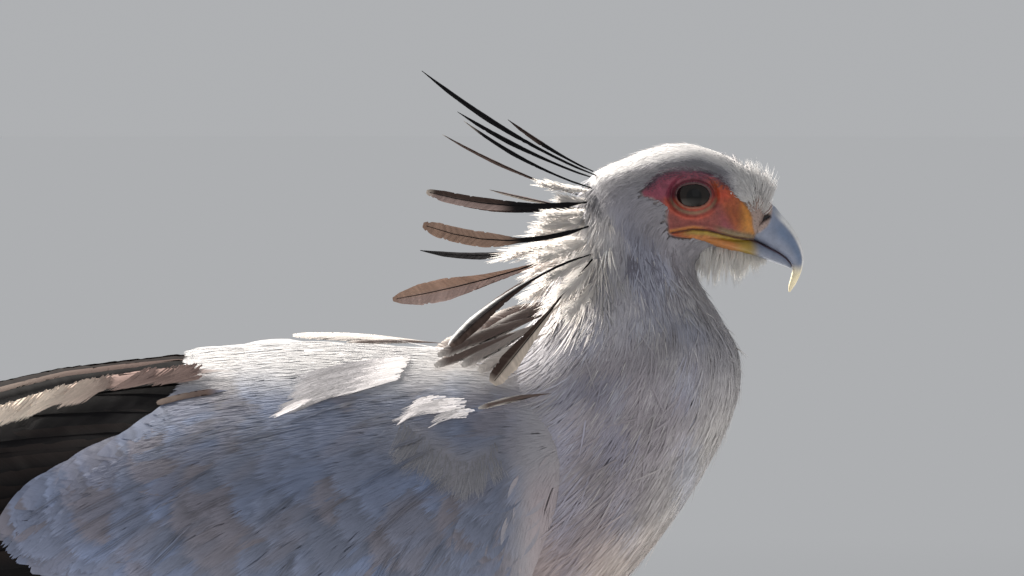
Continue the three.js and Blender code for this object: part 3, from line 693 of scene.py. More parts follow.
def trace(form, t, a, yaw, length, steps):
    """Paths laid over a form from their roots, backwards along it. Returns centres, sides and normals."""
    centres, sides, normals = [], [], []
    for _ in range(steps + 1):
        p, along, around, normal = form_frame(form, t, a)
        back = -unit(along)
        side = np.cross(normal, back)
        heading = np.cos(yaw)[:, None] * back + np.sin(yaw)[:, None] * side
        centres.append(p)
        sides.append(np.cross(normal, heading))
        normals.append(normal)
        aa = (along * along).sum(-1)
        rr = (around * around).sum(-1)
        ar = (along * around).sum(-1)
        ba = (along * heading).sum(-1) * length / steps
        br = (around * heading).sum(-1) * length / steps
        det = np.maximum(aa * rr - ar * ar, 1e-3 * aa * rr + 1e-6)
        t = np.clip(t + (rr * ba - ar * br) / det, 0, form.end)
        a = a + np.clip((aa * br - ar * ba) / det, -0.6, 0.6)
    return np.stack(centres), np.stack(sides), np.stack(normals)


PROBES = 4000
CROWDING = 4.0


def scatter(form, t_span, a_span, spacing, keep, seed):
    """Roots spread evenly over a form: taken in random order, each kept where no kept one is near."""
    dice = np.random.default_rng(seed)
    reach = 1.0
    t = dice.uniform(*t_span, PROBES)
    a = dice.uniform(*a_span, PROBES)

    def weight(t, a):
        _, along, around, _ = form_frame(form, t, a)
        gap = spacing(t, a) * reach
        return np.linalg.norm(np.cross(along, around), axis=-1) / gap ** 2

    first = weight(t, a)
    room = (t_span[1] - t_span[0]) * (a_span[1] - a_span[0])
    top = np.quantile(first, 0.995)
    wanted = int(CROWDING * top * room)
    t = dice.uniform(*t_span, wanted)
    a = dice.uniform(*a_span, wanted)
    chosen = dice.random(wanted) * top < weight(t, a)
    t, a = t[chosen], a[chosen]
    p = form(t, a)
    inside = keep(t, a, p)
    t, a, p = t[inside], a[inside], p[inside]
    gap = spacing(t, a) * reach
    tree = tree_of(p)
    dropped = np.zeros(len(p), bool)
    kept = []
    for i, point in enumerate(p.tolist()):
        if dropped[i]:
            continue
        kept.append(i)
        for _, j, _ in tree.find_range(point, gap[i]):
            dropped[j] = True
    return t[kept], a[kept]


def span_share(lengths, low, high):
    """Where a station lies between two others, by distance along the form."""
    grid = np.linspace(0, len(lengths) - 1, len(lengths))
    first, last = np.interp([low, high], grid, lengths)

    def share(t):
        return np.clip((np.interp(t, grid, lengths) - first) / (last - first), 0, 1)

    return share


def form_lengths(form):
    """Distance along the middle of a form's side at each of its stations."""
    stations = np.arange(int(form.end) + 1, dtype=float)
    p = form(stations, np.full(len(stations), form.middle))
    return np.concatenate([[0.0], np.cumsum(np.linalg.norm(np.diff(p, axis=0), axis=1))])


def unwrap(form, low, high):
    """The place of a root on an unwrap of the form: share along it and share round it."""
    share = span_share(form_lengths(form), low, high)
    start, turn = form.round

    def place(t, a):
        return np.stack([share(t), np.mod((a - start) / turn, 1.0)], -1) * MAP_EDGE

    return place


# Size of a tuft's patch on the map, share of the map that is used, and how far lane numbers run
PATCH = 0.003
MAP_EDGE = 0.996
FREE_EDGE = 0.99
LANE_LENGTH = 60.0
LANE_SEEDS = 50
# Limits of a feather's colour in each channel
DARKEST, BRIGHTEST = 0.001, 0.9
# Angles all round a form
ROUND = (0, 2 * math.pi)
# Where loose down is turned so that light from behind brightens it: on the near side and on the far side
SUNWARD = np.array([(-0.78, -0.12, 0.61), (-0.66, 0.54, 0.52)])


def sunward(facing, lit):
    """Normals turned by a share towards the side that the light comes from."""
    side = (facing[..., 1] > 0).astype(int)
    return unit(facing) * (1 - lit) + SUNWARD[side] * lit


def lerp_path(path, x, owner):
    """Values of a path at shares of its length. x has one row for each owner index."""
    steps = len(path) - 1
    at = np.clip(x, 0, 1) * steps
    low = np.minimum(at.astype(int), steps - 1)
    f = (at - low)[..., None]
    return path[low, owner] * (1 - f) + path[low + 1, owner] * f


def hair_colour(tint, centres, owner, tone, root_shade, u):
    """Colour of both edges of each strand. The tint is a function of the place or given for each tuft."""
    # Painted shade: each strand is darker towards its root, where other strands cover it, and a little paler
    # at its tip
    root_shade_ramp = np.interp(u[:, 0], [0, 0.5, 1], [root_shade, (1 + root_shade) / 2, 1.03])
    if callable(tint):
        base = tint(centres).transpose(1, 0, 2)
    else:
        base = np.broadcast_to(tint, (owner[-1] + 1, 3))[owner][:, None, :]
    colour = base * (tone[:, None] * root_shade_ramp)[..., None]
    return np.repeat(np.clip(colour, DARKEST, BRIGHTEST), 2, axis=1)


def hair_map(place, across, u):
    """Places on the map: a patch at the root of each tuft, with a lane for each strand."""
    uv = place[:, None, None, :] + np.zeros((1, len(u), 2, 1))
    uv[..., 0] += PATCH * u[:, 0][None, :, None]
    uv[..., 1] += PATCH * across
    return uv


def hairs(pile, t, a, *, length, width, depth, lift, strands, segments, tint, yaw=0.0, spread=0.12,
          roll=0.3, stray=0.0, shade=0.06, root_shade=0.7, rough=0.1, stand=0.0, bulge=0.5, lit=0.0):
    """Tufts of thin strands that lie along the pile's form, from the skin out to the coat's surface."""
    dice = pile.dice
    n = len(t)
    strands = strands
    owner = np.repeat(np.arange(n), strands)

    def each(value):
        return np.broadcast_to(value, n)[owner]

    order = np.tile(np.arange(strands), n)
    lane = (order + 0.5) / strands
    size = each(length) * dice.uniform(0.7, 1.1, len(owner))
    loose = dice.random(len(owner)) < stray
    turn = each(yaw) + spread * (2 * lane - 1) + dice.normal(0, spread * 0.5, len(owner))
    turn = turn + loose * dice.normal(0, 0.25, len(owner))
    centres, sides, normals = trace(pile.form, t[owner], a[owner], turn, size, segments)
    u = np.linspace(0, 1, segments + 1)[:, None]
    sink = each(depth)
    rise = each(lift) * dice.uniform(0.3, 1.2, len(owner)) + loose * size * 0.12
    rise = rise + each(stand)
    height = -sink * (1 - u) ** 1.7 + rise * u ** 1.5
    half = each(width) / 2 * np.interp(u, [0, 0.25, 0.6, 1], [0.6, 1, 0.85, 0.12])
    lean = dice.normal(0, roll, len(owner))[None, :, None]
    flat = sides * np.cos(lean) + normals * np.sin(lean)
    middle = centres + normals * height[..., None]
    middle = middle + sides * ((lane - 0.5) * each(width) * 1.5)[None, :, None]
    points = ribbons(middle, flat, half[..., None])
    rows = segments + 1
    jitter = dice.normal(0, rough, (len(owner), 1, 1, 3))
    edge = np.array([-bulge, bulge])[None, None, :, None]
    facing = normals.transpose(1, 0, 2)[:, :, None] + sides.transpose(1, 0, 2)[:, :, None] * edge + jitter
    facing = sunward(facing, each(lit)[:, None, None, None])
    tone = dice.normal(1, shade, n)[owner] * dice.normal(1, shade, len(owner))
    colour = hair_colour(tint, centres, owner, tone, root_shade, u).reshape(points.shape)
    seed = dice.uniform(0, LANE_SEEDS, len(owner))
    lanes = np.empty((len(owner), rows, 2, 3))
    lanes[..., 0] = u[:, 0][None, :, None] * 0.4
    lanes[..., 1] = np.array([-0.2, 0.2])
    lanes[..., 2] = seed[:, None, None]
    uv = hair_map(pile.place(t, a)[owner], (order[:, None, None] + np.array([0.05, 0.95])) / strands, u)
    pile.add(points, strip_quads(len(owner), rows, 2), colour, lanes, uv, facing)


def round_outline(x):
    """Half-width share of a soft body feather along its length."""
    return np.sin(np.pi * np.clip(x, 0, 1) ** 1.1) ** 0.95


def long_outline(x):
    """Half-width share of a wing or tail quill: nearly parallel, with a rounded end."""
    start = np.clip(0.3 + 3.0 * x, 0, 1)
    return start * np.sqrt(np.maximum(0.0, 1 - np.clip((x - 0.86) / 0.142, 0, 1) ** 2.4))


def feather_map(place, strip, x, in_strip, in_patch):
    """Places on the map: in patches at the roots, or in strips. Strip is the first's number and the count."""
    if place is not None:
        return place[:, None, None, :] + PATCH * np.stack([x, in_patch], -1)
    row = (strip[0] + np.arange(len(x)) + 0.5) / strip[1]
    return np.stack([0.01 + 0.98 * x, row[:, None, None] + in_strip], -1)


def blades(pile, paths, place, *, length, width, rows, colour, outline=round_outline, columns=5,
           slant=0.3, fray=0.15, camber=0.1, lean=0.0, height=None, shaft=0.0, shaft_tint=None, rough=0.05,
           shade=0.04, streak=0.03, notch=1.0, strip=(0, 1), lit=0.0):
    """Feathers as thin curved sheets whose rows run out and forwards like barbs, with worn edges."""
    dice = pile.dice
    centres, sides, normals = paths
    n = centres.shape[1]
    rows = rows
    length = np.broadcast_to(length, n)[:, None, None]
    half = (np.broadcast_to(width, n) / 2)[:, None, None]
    start = np.linspace(0, 0.99, rows + 1)[None, :, None]
    y = np.broadcast_to(np.linspace(-1, 1, columns), (n, rows + 1, columns))
    edge = np.abs(y) ** 3
    jag = dice.random((n, rows + 1, 2)) * np.where(dice.random((n, rows + 1, 2)) < notch, 1.0, 0.3)
    jag = np.where(y < 0, jag[..., :1], jag[..., 1:])
    x = np.clip(start + slant * (1 - start) * np.abs(y) + edge * (jag - 0.5) * 0.5 / rows, 0, 1)
    y = y * (1 + lean * np.sign(y)) * outline(x) * (1 - fray * edge * jag ** 2)
    owner = np.broadcast_to(np.arange(n)[:, None, None], x.shape)
    rise = -camber * 2 * half * y ** 2 - 0.1 * x
    if height is not None:
        rise = rise + height(x, owner)
    across, up = lerp_path(sides, x, owner), lerp_path(normals, x, owner)
    points = lerp_path(centres, x, owner) + across * (y * half)[..., None] + up * rise[..., None]
    facing = up + across * (camber * 4 * y)[..., None] + dice.normal(0, rough, (n, rows + 1, 1, 3))
    facing = sunward(facing, lit)
    tone = dice.normal(1, shade, (n, 1, 1)) * dice.normal(1, streak, (n, rows + 1, 1))
    tint = np.clip(colour(x, y, owner) * tone[..., None], DARKEST, BRIGHTEST)
    seed = dice.uniform(0, LANE_SEEDS, (n, 1, 1))
    lanes = np.stack([x * length / LANE_LENGTH, y * half / LANE_LENGTH, 0 * x + seed], -1)
    uv = feather_map(place, strip, x, 0.42 / strip[1] * y / (1 + abs(lean)), (y + 1) / 2)
    pile.add(points, strip_quads(n, rows + 1, columns), tint, lanes, uv, facing)
    if shaft > 0:
        rachis(pile, paths, place, length, colour, shaft, shaft_tint, height, strip)


def rachis(pile, paths, place, length, colour, shaft, shaft_tint, height, strip):
    """A thin raised shaft along each feather."""
    centres, sides, normals = paths
    n = centres.shape[1]
    rows = 7
    x = np.broadcast_to(np.linspace(0, 0.97, rows)[None, :, None], (n, rows, 3))
    across = np.array([-1.0, 0.0, 1.0])
    thick = shaft * np.interp(x, [0, 1], [1, 0.25])
    owner = np.broadcast_to(np.arange(n)[:, None, None], x.shape)
    rise = 0.05 + thick * 0.5 * (1 - np.abs(across))
    if height is not None:
        rise = rise + height(x, owner)
    points = lerp_path(centres, x, owner) + lerp_path(sides, x, owner) * (thick / 2 * across)[..., None]
    up = lerp_path(normals, x, owner)
    facing = up + lerp_path(sides, x, owner) * (0.8 * across)[..., None] * np.ones(x.shape)[..., None]
    points = points + up * rise[..., None]
    tint = colour(x, np.zeros(x.shape), owner) * 0.8
    if shaft_tint is not None:
        tint = np.broadcast_to(shaft_tint, points.shape)
    flat = across * np.ones(x.shape)
    uv = feather_map(place, strip, x, (0.46 + 0.02 * flat) / strip[1], 0.5 + 0.05 * flat)
    lanes = np.stack([x * length / LANE_LENGTH, np.zeros(x.shape), np.zeros(x.shape)], -1)
    pile.add(points, strip_quads(n, rows, 3), tint, lanes, uv, facing)


body.end = BODY_END
body.middle = math.pi / 2
body.round = (0.0, 2 * math.pi)

# Stations of the folded left wing from its rear end: X, then Y and Z of its upper, fullest and lower line
WING = np.array([
    (-622, 38, 650, 41, 642, 43, 634),
    (-570, 28, 694, 40, 660, 46, 630),
    (-500, 18, 742, 44, 688, 50, 638),
    (-420, 12, 784, 55, 716, 56, 650),
    (-340, 12, 813, 70, 738, 64, 664),
    (-265, 14, 832, 85, 753, 72, 672),
    (-195, 20, 841, 99, 757, 80, 660),
    (-125, 27, 845.5, 108, 758, 88, 656),
    (-62, 34, 843.5, 109, 762, 92, 668),
    (-12, 46, 838, 103, 768, 90, 696),
    (22, 60, 820, 90, 778, 80, 736),
    (34, 66, 796, 72, 782, 70, 768),
], float)
# Rear edge of the pale coverts in the side view, from the back down and round to the belly
COVERT_EDGE = np.array([
    (-190, 900), (-194, 836), (-205, 814), (-230, 790), (-262, 771), (-290, 754), (-302, 739),
    (-294, 724), (-268, 713), (-225, 709), (-175, 692), (-120, 678), (-60, 640),
], float)


def wing(t, s):
    """The folded left wing's outer side: t runs forwards, s from the upper edge down."""
    r = spline(WING, t)
    s = np.asarray(s, float)[..., None]
    upper, full, lower = r[..., 1:3], r[..., 3:5], r[..., 5:7]
    control = 2 * full - (upper + lower) / 2
    yz = bent(s, upper, control, lower)
    return np.concatenate([r[..., :1], yz], -1)


wing.end = len(WING) - 1.0
wing.middle = 0.5
wing.round = (-0.05, 1.1)


def wing_place(x, z):
    """The wing's two coordinates at a place of the side view."""
    x, z = np.atleast_1d(np.asarray(x, float)), np.atleast_1d(np.asarray(z, float))
    stations = np.linspace(0, wing.end, 500)
    t = np.interp(x, spline(WING, stations)[:, 0], stations)
    shares = np.linspace(-0.15, 1.15, 90)
    heights = wing(np.repeat(t[:, None], 90, 1), np.repeat(shares[None], len(t), 0))[..., 2]
    s = np.array([np.interp(-h, -row, shares) for h, row in zip(z, heights)])
    return t, s


SHIN = np.array([
    (346, 4, 9.5, 9, 52.5),
    (362, 8, 15, 13, 52.5),
    (405, 20, 20, 16.5, 52.5),
    (465, 37, 27, 21.5, 52),
    (530, 55, 36, 27, 51),
    (590, 72, 46, 32, 50),
    (640, 84, 53, 36, 49),
    (690, 92, 54, 35, 48),
], float)
SHANK = np.array([
    (-0.06, 8, 7.5),
    (-0.02, 11, 10.5),
    (0.02, 12.5, 11),
    (0.06, 9.5, 8.4),
    (0.16, 7.4, 6.2),
    (0.5, 6.8, 5.8),
    (0.84, 7, 6.2),
    (0.94, 8, 8.2),
    (1.0, 8.6, 9.6),
], float)
FEET_X = -92
HALF_STRIDE = 34
FOOT_Y = 54
ANKLE_Y = 52.5
STANCE = (("left", 1, FEET_X - HALF_STRIDE), ("right", -1, FEET_X + HALF_STRIDE))
SHANK_LEAN = 44
ANKLE_HEIGHT = 327
FOOT_TOP = 25


def shin_form(foot_x):
    """The feathered shin of the left leg; t runs up, the angle from the front round by the right."""
    ankle_x, hip_x = foot_x - SHANK_LEAN, FEET_X - SHANK_LEAN

    def form(t, angle):
        z, ahead, deep, wide, y = np.moveaxis(spline(SHIN, t), -1, 0)
        x = ankle_x + (hip_x - ankle_x) * (z - 346) / (690 - 346) + ahead
        return np.stack([x + deep * np.cos(angle), y - wide * np.sin(angle), z], -1)

    form.end = len(SHIN) - 1.0
    form.middle = math.pi / 2
    form.round = (0.0, 2 * math.pi)
    return form


def shank_form(foot_x):
    """The bare shank of the left leg, from the ankle down."""
    ankle_x = foot_x - SHANK_LEAN

    def form(t, angle):
        down, deep, wide = np.moveaxis(spline(SHANK, t), -1, 0)
        x = ankle_x + (foot_x - 2 - ankle_x) * down
        y = ANKLE_Y + (FOOT_Y - ANKLE_Y) * down
        z = ANKLE_HEIGHT + (FOOT_TOP - ANKLE_HEIGHT) * down
        return np.stack([x + deep * np.cos(angle), y + wide * np.sin(angle), z], -1)

    form.end = len(SHANK) - 1.0
    return form


# Colours of the coat
GREY_DOWN = rgb(0.36, 0.35, 0.385)
PALE_DOWN = rgb(0.66, 0.64, 0.63)
BLUE_GREY = rgb(0.158, 0.183, 0.262)
CREASE_BROWN = rgb(0.175, 0.155, 0.172)
SOOT = rgb(0.010, 0.0095, 0.0105)
BROWN_VANE = rgb(0.30, 0.215, 0.19)
CREAM = rgb(0.62, 0.53, 0.45)
WHITE_DOWN = rgb(0.9, 0.87, 0.83)


def ripple(p, scale, seed):
    """Smooth irregular waves in space, about -1 to 1."""
    dice = np.random.default_rng(seed)
    total = 0.0
    for _ in range(5):
        direction = unit(dice.normal(size=3))
        pitch = scale * dice.uniform(0.6, 1.7)
        total = total + np.sin(p @ direction * 2 * math.pi / pitch + dice.uniform(0, 6.3))
    return total / 2.4


# Lower edge of the painted light on the crown in the side view; above it the head's coat is painted pale
LIT_CAP_LINE = np.array([
    (30, 950), (41, 948), (52, 946.5), (68, 949), (81, 954.5), (95, 956), (115, 955), (125, 951), (133, 946),
], float)


def down_colour(t, a, p):
    """Colours of the coat on the head, neck and body."""
    x, z = p[..., 0], p[..., 2]
    back = (1 + np.cos(a)) / 2
    over = z - height_at(LIT_CAP_LINE, x)
    # cap: where the crown is painted pale as painted light, above the cap line
    cap = smooth(13.0, 14.0, t) * smooth(-1.5, 2.0, over)
    # Painted shade in a dark band above the eye, under the brow
    brow_shade = smooth(-24, -6, over) * (1 - cap) * smooth(12.0, 13.4, t) * smooth(136, 124, x)
    face = smooth(12.5, 13.5, t) * (1 - cap) * smooth(950, 932, z)
    nape = bell((t - 12.6) / 1.5, 1) * smooth(0.6, 0.92, back) * (1 - 0.8 * brow_shade)
    speckle = smooth(0.1, 0.6, ripple(p, 4.6, 9)) * bell((t - 12.0) / 1.9, 1) * smooth(0.8, 0.5, back)
    flecks = smooth(0.3, 0.9, ripple(p, 7, 23)) * smooth(12.8, 11.5, t) * smooth(5, 8, t)
    patch = smooth(15, 13, t) * smooth(4, 6, t)
    c = mix(GREY_DOWN, GREY_DOWN * (1.14, 1.08, 1.08), smooth(9.6, 7.8, t) * smooth(0.9, 0.6, back))
    # Painted light on the crown
    c = mix(c, PALE_DOWN, 0.8 * cap)
    # Painted shade above the eye
    c = mix(c, GREY_DOWN * 0.42, 0.85 * brow_shade * smooth(1.001, 0.985, back))
    c = mix(c, GREY_DOWN * (0.76, 0.75, 0.76), face)
    # Painted light on the nape, where the light from behind falls
    c = mix(c, PALE_DOWN, 0.8 * nape)
    # Painted light along the top of the back, where the light from behind falls
    c = mix(c, PALE_DOWN, 0.85 * smooth(7.5, 5, t) * smooth(0.55, 0.85, back))
    c = mix(c, PALE_DOWN, 0.75 * smooth(10, 8, t) * smooth(0.25, 0.05, back))
    c = mix(c, PALE_DOWN * 1.15, 0.9 * smooth(129, 139, x) * smooth(926, 931, z))
    c = mix(c, CREASE_BROWN * 1.3, 0.35 * smooth(0.1, 0.9, ripple(p, 60, 4)) * smooth(12, 9, t))
    c = mix(c, SPECKLE, 0.75 * speckle)
    c = mix(c, PALE_DOWN * 0.9, 0.4 * flecks)
    c = mix(c, c * (0.97, 0.88, 0.82), smooth(775, 735, z) * smooth(0, 25, x))
    c = c * (1 + 0.13 * patch * ripple(p, 34, 51))[..., None]
    c = mix(c, c * (0.9, 0.97, 1.13), 0.7 * patch * smooth(0.0, 0.8, ripple(p, 46, 52)))
    c = mix(c, SOOT, smooth(2.2, 1.4, t) * smooth(0.25, 0.4, back))
    return mix(c, PALE_DOWN, smooth(0.6, 0.2, t))


# Looks shared by the fine strands of the head, and of the neck and breast
SLEEK = {"roll": 0.015, "rough": 0.02, "root_shade": 0.97}
SMOOTH = {"roll": 0.015, "rough": 0.02, "root_shade": 0.98}


def along(stations, values):
    """A function of the station, given by its values at some of them."""
    return lambda t, *_: np.interp(t, stations, values)


def even(value):
    return lambda t, *_: np.full(t.shape, value)


def anywhere(t, a, p):
    return np.full(t.shape, True)


def bare_at(p):
    return bareness(p) > 0.35


def shingle(depth, lift):
    """How high a feather runs: from the skin at its root to the coat's surface at its tip."""
    def height(x, owner):
        x = np.clip(x, 0, 1.05)
        return -np.take(depth, owner) * np.clip(1 - x, 0, 1) ** 1.6 + np.take(lift, owner) * x ** 1.5
    return height


def lay_feathers(pile, seed, t_span, spacing, keep, *, length, width, depth, lift, rows,
                 columns=5, yaw=0.1, tint=down_colour, dark=0.8, **shape):
    """Soft body feathers scattered over the pile's form. Length and depth are functions of the station."""
    dice, form = pile.dice, pile.form
    t, a = scatter(form, t_span, ROUND, spacing, keep, seed)
    n = len(t)
    size = length(t) * dice.uniform(0.85, 1.1, n)
    paths = trace(form, t, a, dice.normal(0, yaw, n), size, 5)
    tone = tint(t, a, form(t, a))

    def colour(x, y, owner):
        # Painted shade towards each feather's root, where the feathers in front cover it; dark sets how deep
        return tone[owner] * np.interp(x, [0, 0.6, 1], [dark, 0.97, 1.03])[..., None]

    height = shingle(depth(t), dice.uniform(0.0, lift, n))
    blades(pile, paths, pile.place(t, a), length=size, width=size * width, rows=rows, columns=columns,
           colour=colour, height=height, **shape)


def under_wing(p):
    return (p[..., 0] < 0) & (p[..., 2] > 720) & (np.abs(p[..., 1]) > 40)


def feathered(t, a, p):
    """Where the head's coat grows: off the red skin and the bill."""
    x, z = p[..., 0], p[..., 2]
    in_bill = (x > 150) | ((x > 136) & (z < 931)) | ((x > 131) & (z < 912))
    return ~bare_at(p) & ~in_bill


def make_undercoat(material):
    """Broad soft feathers under the fine strands, from the breast up to the bill."""
    pile = Pile(20, body, 4.2, BODY_END)
    stations = [4.5, 9, 12.5, 15, 21]
    lay_feathers(pile, 30, (4.4, BODY_END - 0.2), along(stations, [9.5, 6.5, 4.2, 2.8, 2.0]),
                 lambda t, a, p: feathered(t, a, p) & ~((t < 9) & under_wing(p)),
                 length=along(stations, [48, 36, 20, 11, 5.5]), width=0.6, depth=coat_depth, lift=0.2, rows=8,
                 fray=0.4, rough=0.03)
    pile.build("undercoat", material, "grey_feather")


def make_head_coat(material):
    pile = Pile(21, body, 12.4, BODY_END)
    spacing = along([12.6, 14, 16, 19, 21], [2.2, 1.75, 1.5, 1.3, 1.1])
    t, a = scatter(body, (12.6, BODY_END - 0.15), ROUND, spacing, feathered, 31)
    p = body(t, a)
    near_face = smooth(7, 1, face_distance(p)) * smooth(5, 11, np.abs(p[..., 1]))
    length = np.interp(t, [12.6, 14, 16, 18, 20, 21], [18, 15, 13, 10, 7, 5]) * (1 - 0.45 * near_face)
    over = p[..., 2] - height_at(LIT_CAP_LINE, p[..., 0])
    lit = 0.1 * smooth(0, 6, over) + 0.4 * smooth(130, 140, p[..., 0]) * smooth(928, 934, p[..., 2])
    hairs(pile, t, a, length=length, width=np.interp(t, [13, 20], [0.8, 0.5]), depth=0.35, lit=lit,
          lift=0.14 + 0.4 * smooth(18, 20, t), strands=6, segments=3, tint=down_colour(t, a, p), spread=0.14,
          stray=0.02, shade=0.05, bulge=0.1, **SLEEK)
    make_short_bristles(pile)
    pile.build("coat_head", material, "grey_feather")


def make_short_bristles(pile):
    """Dusky bristles above the eye, pale ones before the nostril, and strands over the face's rear edge."""
    def above_eye(t, a, p):
        d = face_distance(p)
        return (d > -5 * pile.dice.random(len(t))) & (d < 1.0) & (p[..., 2] > 938) & (np.abs(p[..., 1]) > 8)

    def before_nostril(t, a, p):
        x, y, z = np.moveaxis(p, -1, 0)
        ahead = (x > 135) & (x < 150) & (z > np.where(x > 139, 925, 912)) & (z < 934)
        return ahead & ~bare_at(p) & (np.abs(y) > 4)

    def behind_face(t, a, p):
        d = face_distance(p)
        leaves = face_distance(body(t - 0.1, a)) > d
        return (d > -1.6) & (d < 1.2) & leaves & (np.abs(p[..., 1]) > 8) & (p[..., 2] < 937)

    short = {"depth": 0.3, "strands": 3, "segments": 3, "spread": 0.3, "stray": 0.1}
    stiff = {"width": 0.28, "lift": 0.7, "shade": 0.15, "root_shade": 0.7}
    soft = {"width": 0.48, "lift": 0.3, "shade": 0.05, "root_shade": 0.9}
    for keep, gap, size, tint, seed, look in (
        (above_eye, 1.0, 3.0, DUSKY, 35, stiff),
        (before_nostril, 1.5, 2.6, PALE_DOWN, 36, stiff),
        (behind_face, 0.9, 5.5, GREY_DOWN * 0.95, 37, soft),
    ):
        t, a = scatter(body, (15, BODY_END - 0.1), ROUND, even(gap), keep, seed)
        hairs(pile, t, a, length=size, tint=tint, **short, **look)


def make_neck_coat(material):
    pile = Pile(22, body, 8.6, 12.9)
    ends = (8.8, 12.7)
    t, a = scatter(body, ends, ROUND, along(ends, [3.1, 2.3]), anywhere, 32)
    hairs(pile, t, a, length=np.interp(t, ends, [26, 16]), width=0.85, depth=0.55, lift=0.3, strands=7,
          segments=4, tint=down_colour(t, a, body(t, a)), spread=0.17, stray=0.04, shade=0.025, bulge=0.08,
          **SMOOTH)
    pile.build("coat_neck", material, "grey_feather")


def make_breast_coat(material):
    pile = Pile(23, body, 4.3, 9.1)
    ends = (4.5, 9.0)
    t, a = scatter(body, ends, ROUND, along(ends, [5.4, 3.6]), lambda t, a, p: ~under_wing(p), 33)
    hairs(pile, t, a, length=np.interp(t, ends, [38, 28]), width=1.05, depth=0.7, lift=0.45, strands=8,
          segments=4, tint=down_colour(t, a, body(t, a)), spread=0.16, stray=0.03, shade=0.02, bulge=0.08,
          **SMOOTH)
    pile.build("coat_breast", material, "grey_feather")


def make_trunk_coat(material):
    pile = Pile(24, body, 0, 6.5)

    def keep(t, a, p):
        side = (np.abs(p[..., 1]) > 42) & (p[..., 2] > 700) & (p[..., 2] < 815)
        front = (t > 4.6) & (np.cos(a) < 0.3)
        return ~side & ~front

    lay_feathers(pile, 34, (0.35, 6.6), even(8.0), keep, length=along([0, 1, 6], [34, 48, 48]), width=0.55,
                 depth=even(4.5), lift=0.35, rows=16, columns=7, fray=0.45, rough=0.02, camber=0.03,
                 streak=0.02)
    pile.build("coat_trunk", material, "grey_feather")


COVERTS = np.concatenate([COVERT_EDGE, [(200, 560), (200, 900)]])


def covert_distance(p):
    """Distance in the side view from the rear edge of the pale coverts, negative on them."""
    return outline_distance(COVERTS, p[..., 0], p[..., 2])


def make_scales():
    """The broad soft coverts in the side view: tip, cosine and sine of the slope, half-width and tint."""
    dice = np.random.default_rng(46)
    x, z = grid_of(np.arange(-312, 50, 25.0), np.arange(640, 850, 17.0))
    x[:, ::2] += 12
    x = x.ravel() + dice.normal(0, 4.5, x.size)
    z = z.ravel() + dice.normal(0, 3.5, z.size)
    slope = 0.13 + 0.72 * smooth(0.05, 0.95, (845 - z) / 190) + dice.normal(0, 0.09, x.size)
    half = dice.uniform(12, 18, x.size)
    tint = mix(BLUE_GREY * dice.normal(1, 0.07, (x.size, 1)), BLUE_GREY * (1.08, 1.15, 1.24),
               (dice.random(x.size) < 0.3) * dice.uniform(0.3, 1, x.size))
    tint = mix(tint, CREASE_BROWN * 1.06, (dice.random(x.size) < 0.3) * dice.uniform(0.2, 0.75, x.size))
    return np.column_stack([x, z, np.cos(slope), np.sin(slope), half, tint])


SCALES = make_scales()


def scale_colour(p):
    """Topmost covert's colour in the side view, with a painted highlight at its rim and the next one's
    painted shadow.
    """
    tip_x, tip_z, c, s, half = SCALES[:, :5].T
    out = []
    for part in np.array_split(p.reshape(-1, 3), max(1, p.size // 60000)):
        dx, dz = part[:, :1] - tip_x, part[:, 2:] - tip_z
        across = dz * c - dx * s
        inside = dx * c + dz * s - across ** 2 / 26
        near = np.abs(across) < half
        pick = np.where(near & (inside > 0), inside, 1e9).argmin(1)
        row = np.arange(len(part))
        own = inside[row, pick]
        side = np.abs(across[row, pick]) / half[pick]
        shade = np.where(near & (inside <= 0), np.clip(1 + inside / 7, 0, 1), 0).max(1)
        # Painted highlight near the covert's tip, a little darker further in, and painted shadow under the
        # tips in front
        tone = 1 + 0.17 * bell(own, 3.5) - 0.06 * bell(own - 12, 7) - 0.24 * shade
        # Painted shade along the covert's sides, where it meets its neighbours
        tone = tone - 0.12 * smooth(0.85, 1, side)
        out.append(SCALES[pick, 5:] * tone[:, None])
    return np.concatenate(out).reshape(p.shape)


def covert_colour(p):
    """Colours of the wing: bluish grey, with brownish and paler stretches that run along the feathers."""
    x, z = p[..., 0], p[..., 2]
    slant, stretch = 0.55, 3.2
    run = (x * math.cos(slant) + z * math.sin(slant)) / stretch
    rise = z * math.cos(slant) - x * math.sin(slant)
    q = np.stack([run, 0 * rise, rise], -1)
    lobe = z - height_at(LOBE_EDGE, x)
    inside = smooth(-1, 3, lobe) * smooth(34, 18, lobe) * bell((x + 36) / 34, 1)
    c = scale_colour(p)
    c = mix(c, c * (1.1, 1.17, 1.24), 0.5 * smooth(0.2, 1.0, ripple(q, 24, 12)))
    c = mix(c, CREASE_BROWN * 1.05, 0.3 * smooth(0.3, 1.0, ripple(q, 20, 17)))
    c = mix(c, GREY_DOWN * 0.8, 0.7 * inside)
    c = c * (1 + (0.16, 0.17, 0.2) * smooth(-190, -235, x)[..., None])
    # Painted light along the top of the wing, where the light from behind falls
    c = mix(c, PALE_DOWN, 0.85 * smooth(814, 838, z))
    c = mix(c, GREY_DOWN, smooth(-10, 14, x))
    c = mix(c, GREY_DOWN * (1.16, 1.12, 1.08), smooth(8, 30, x))
    return mix(c, GREY_DOWN * (1.08, 0.97, 0.95), smooth(2, 16, x) * smooth(788, 758, z))


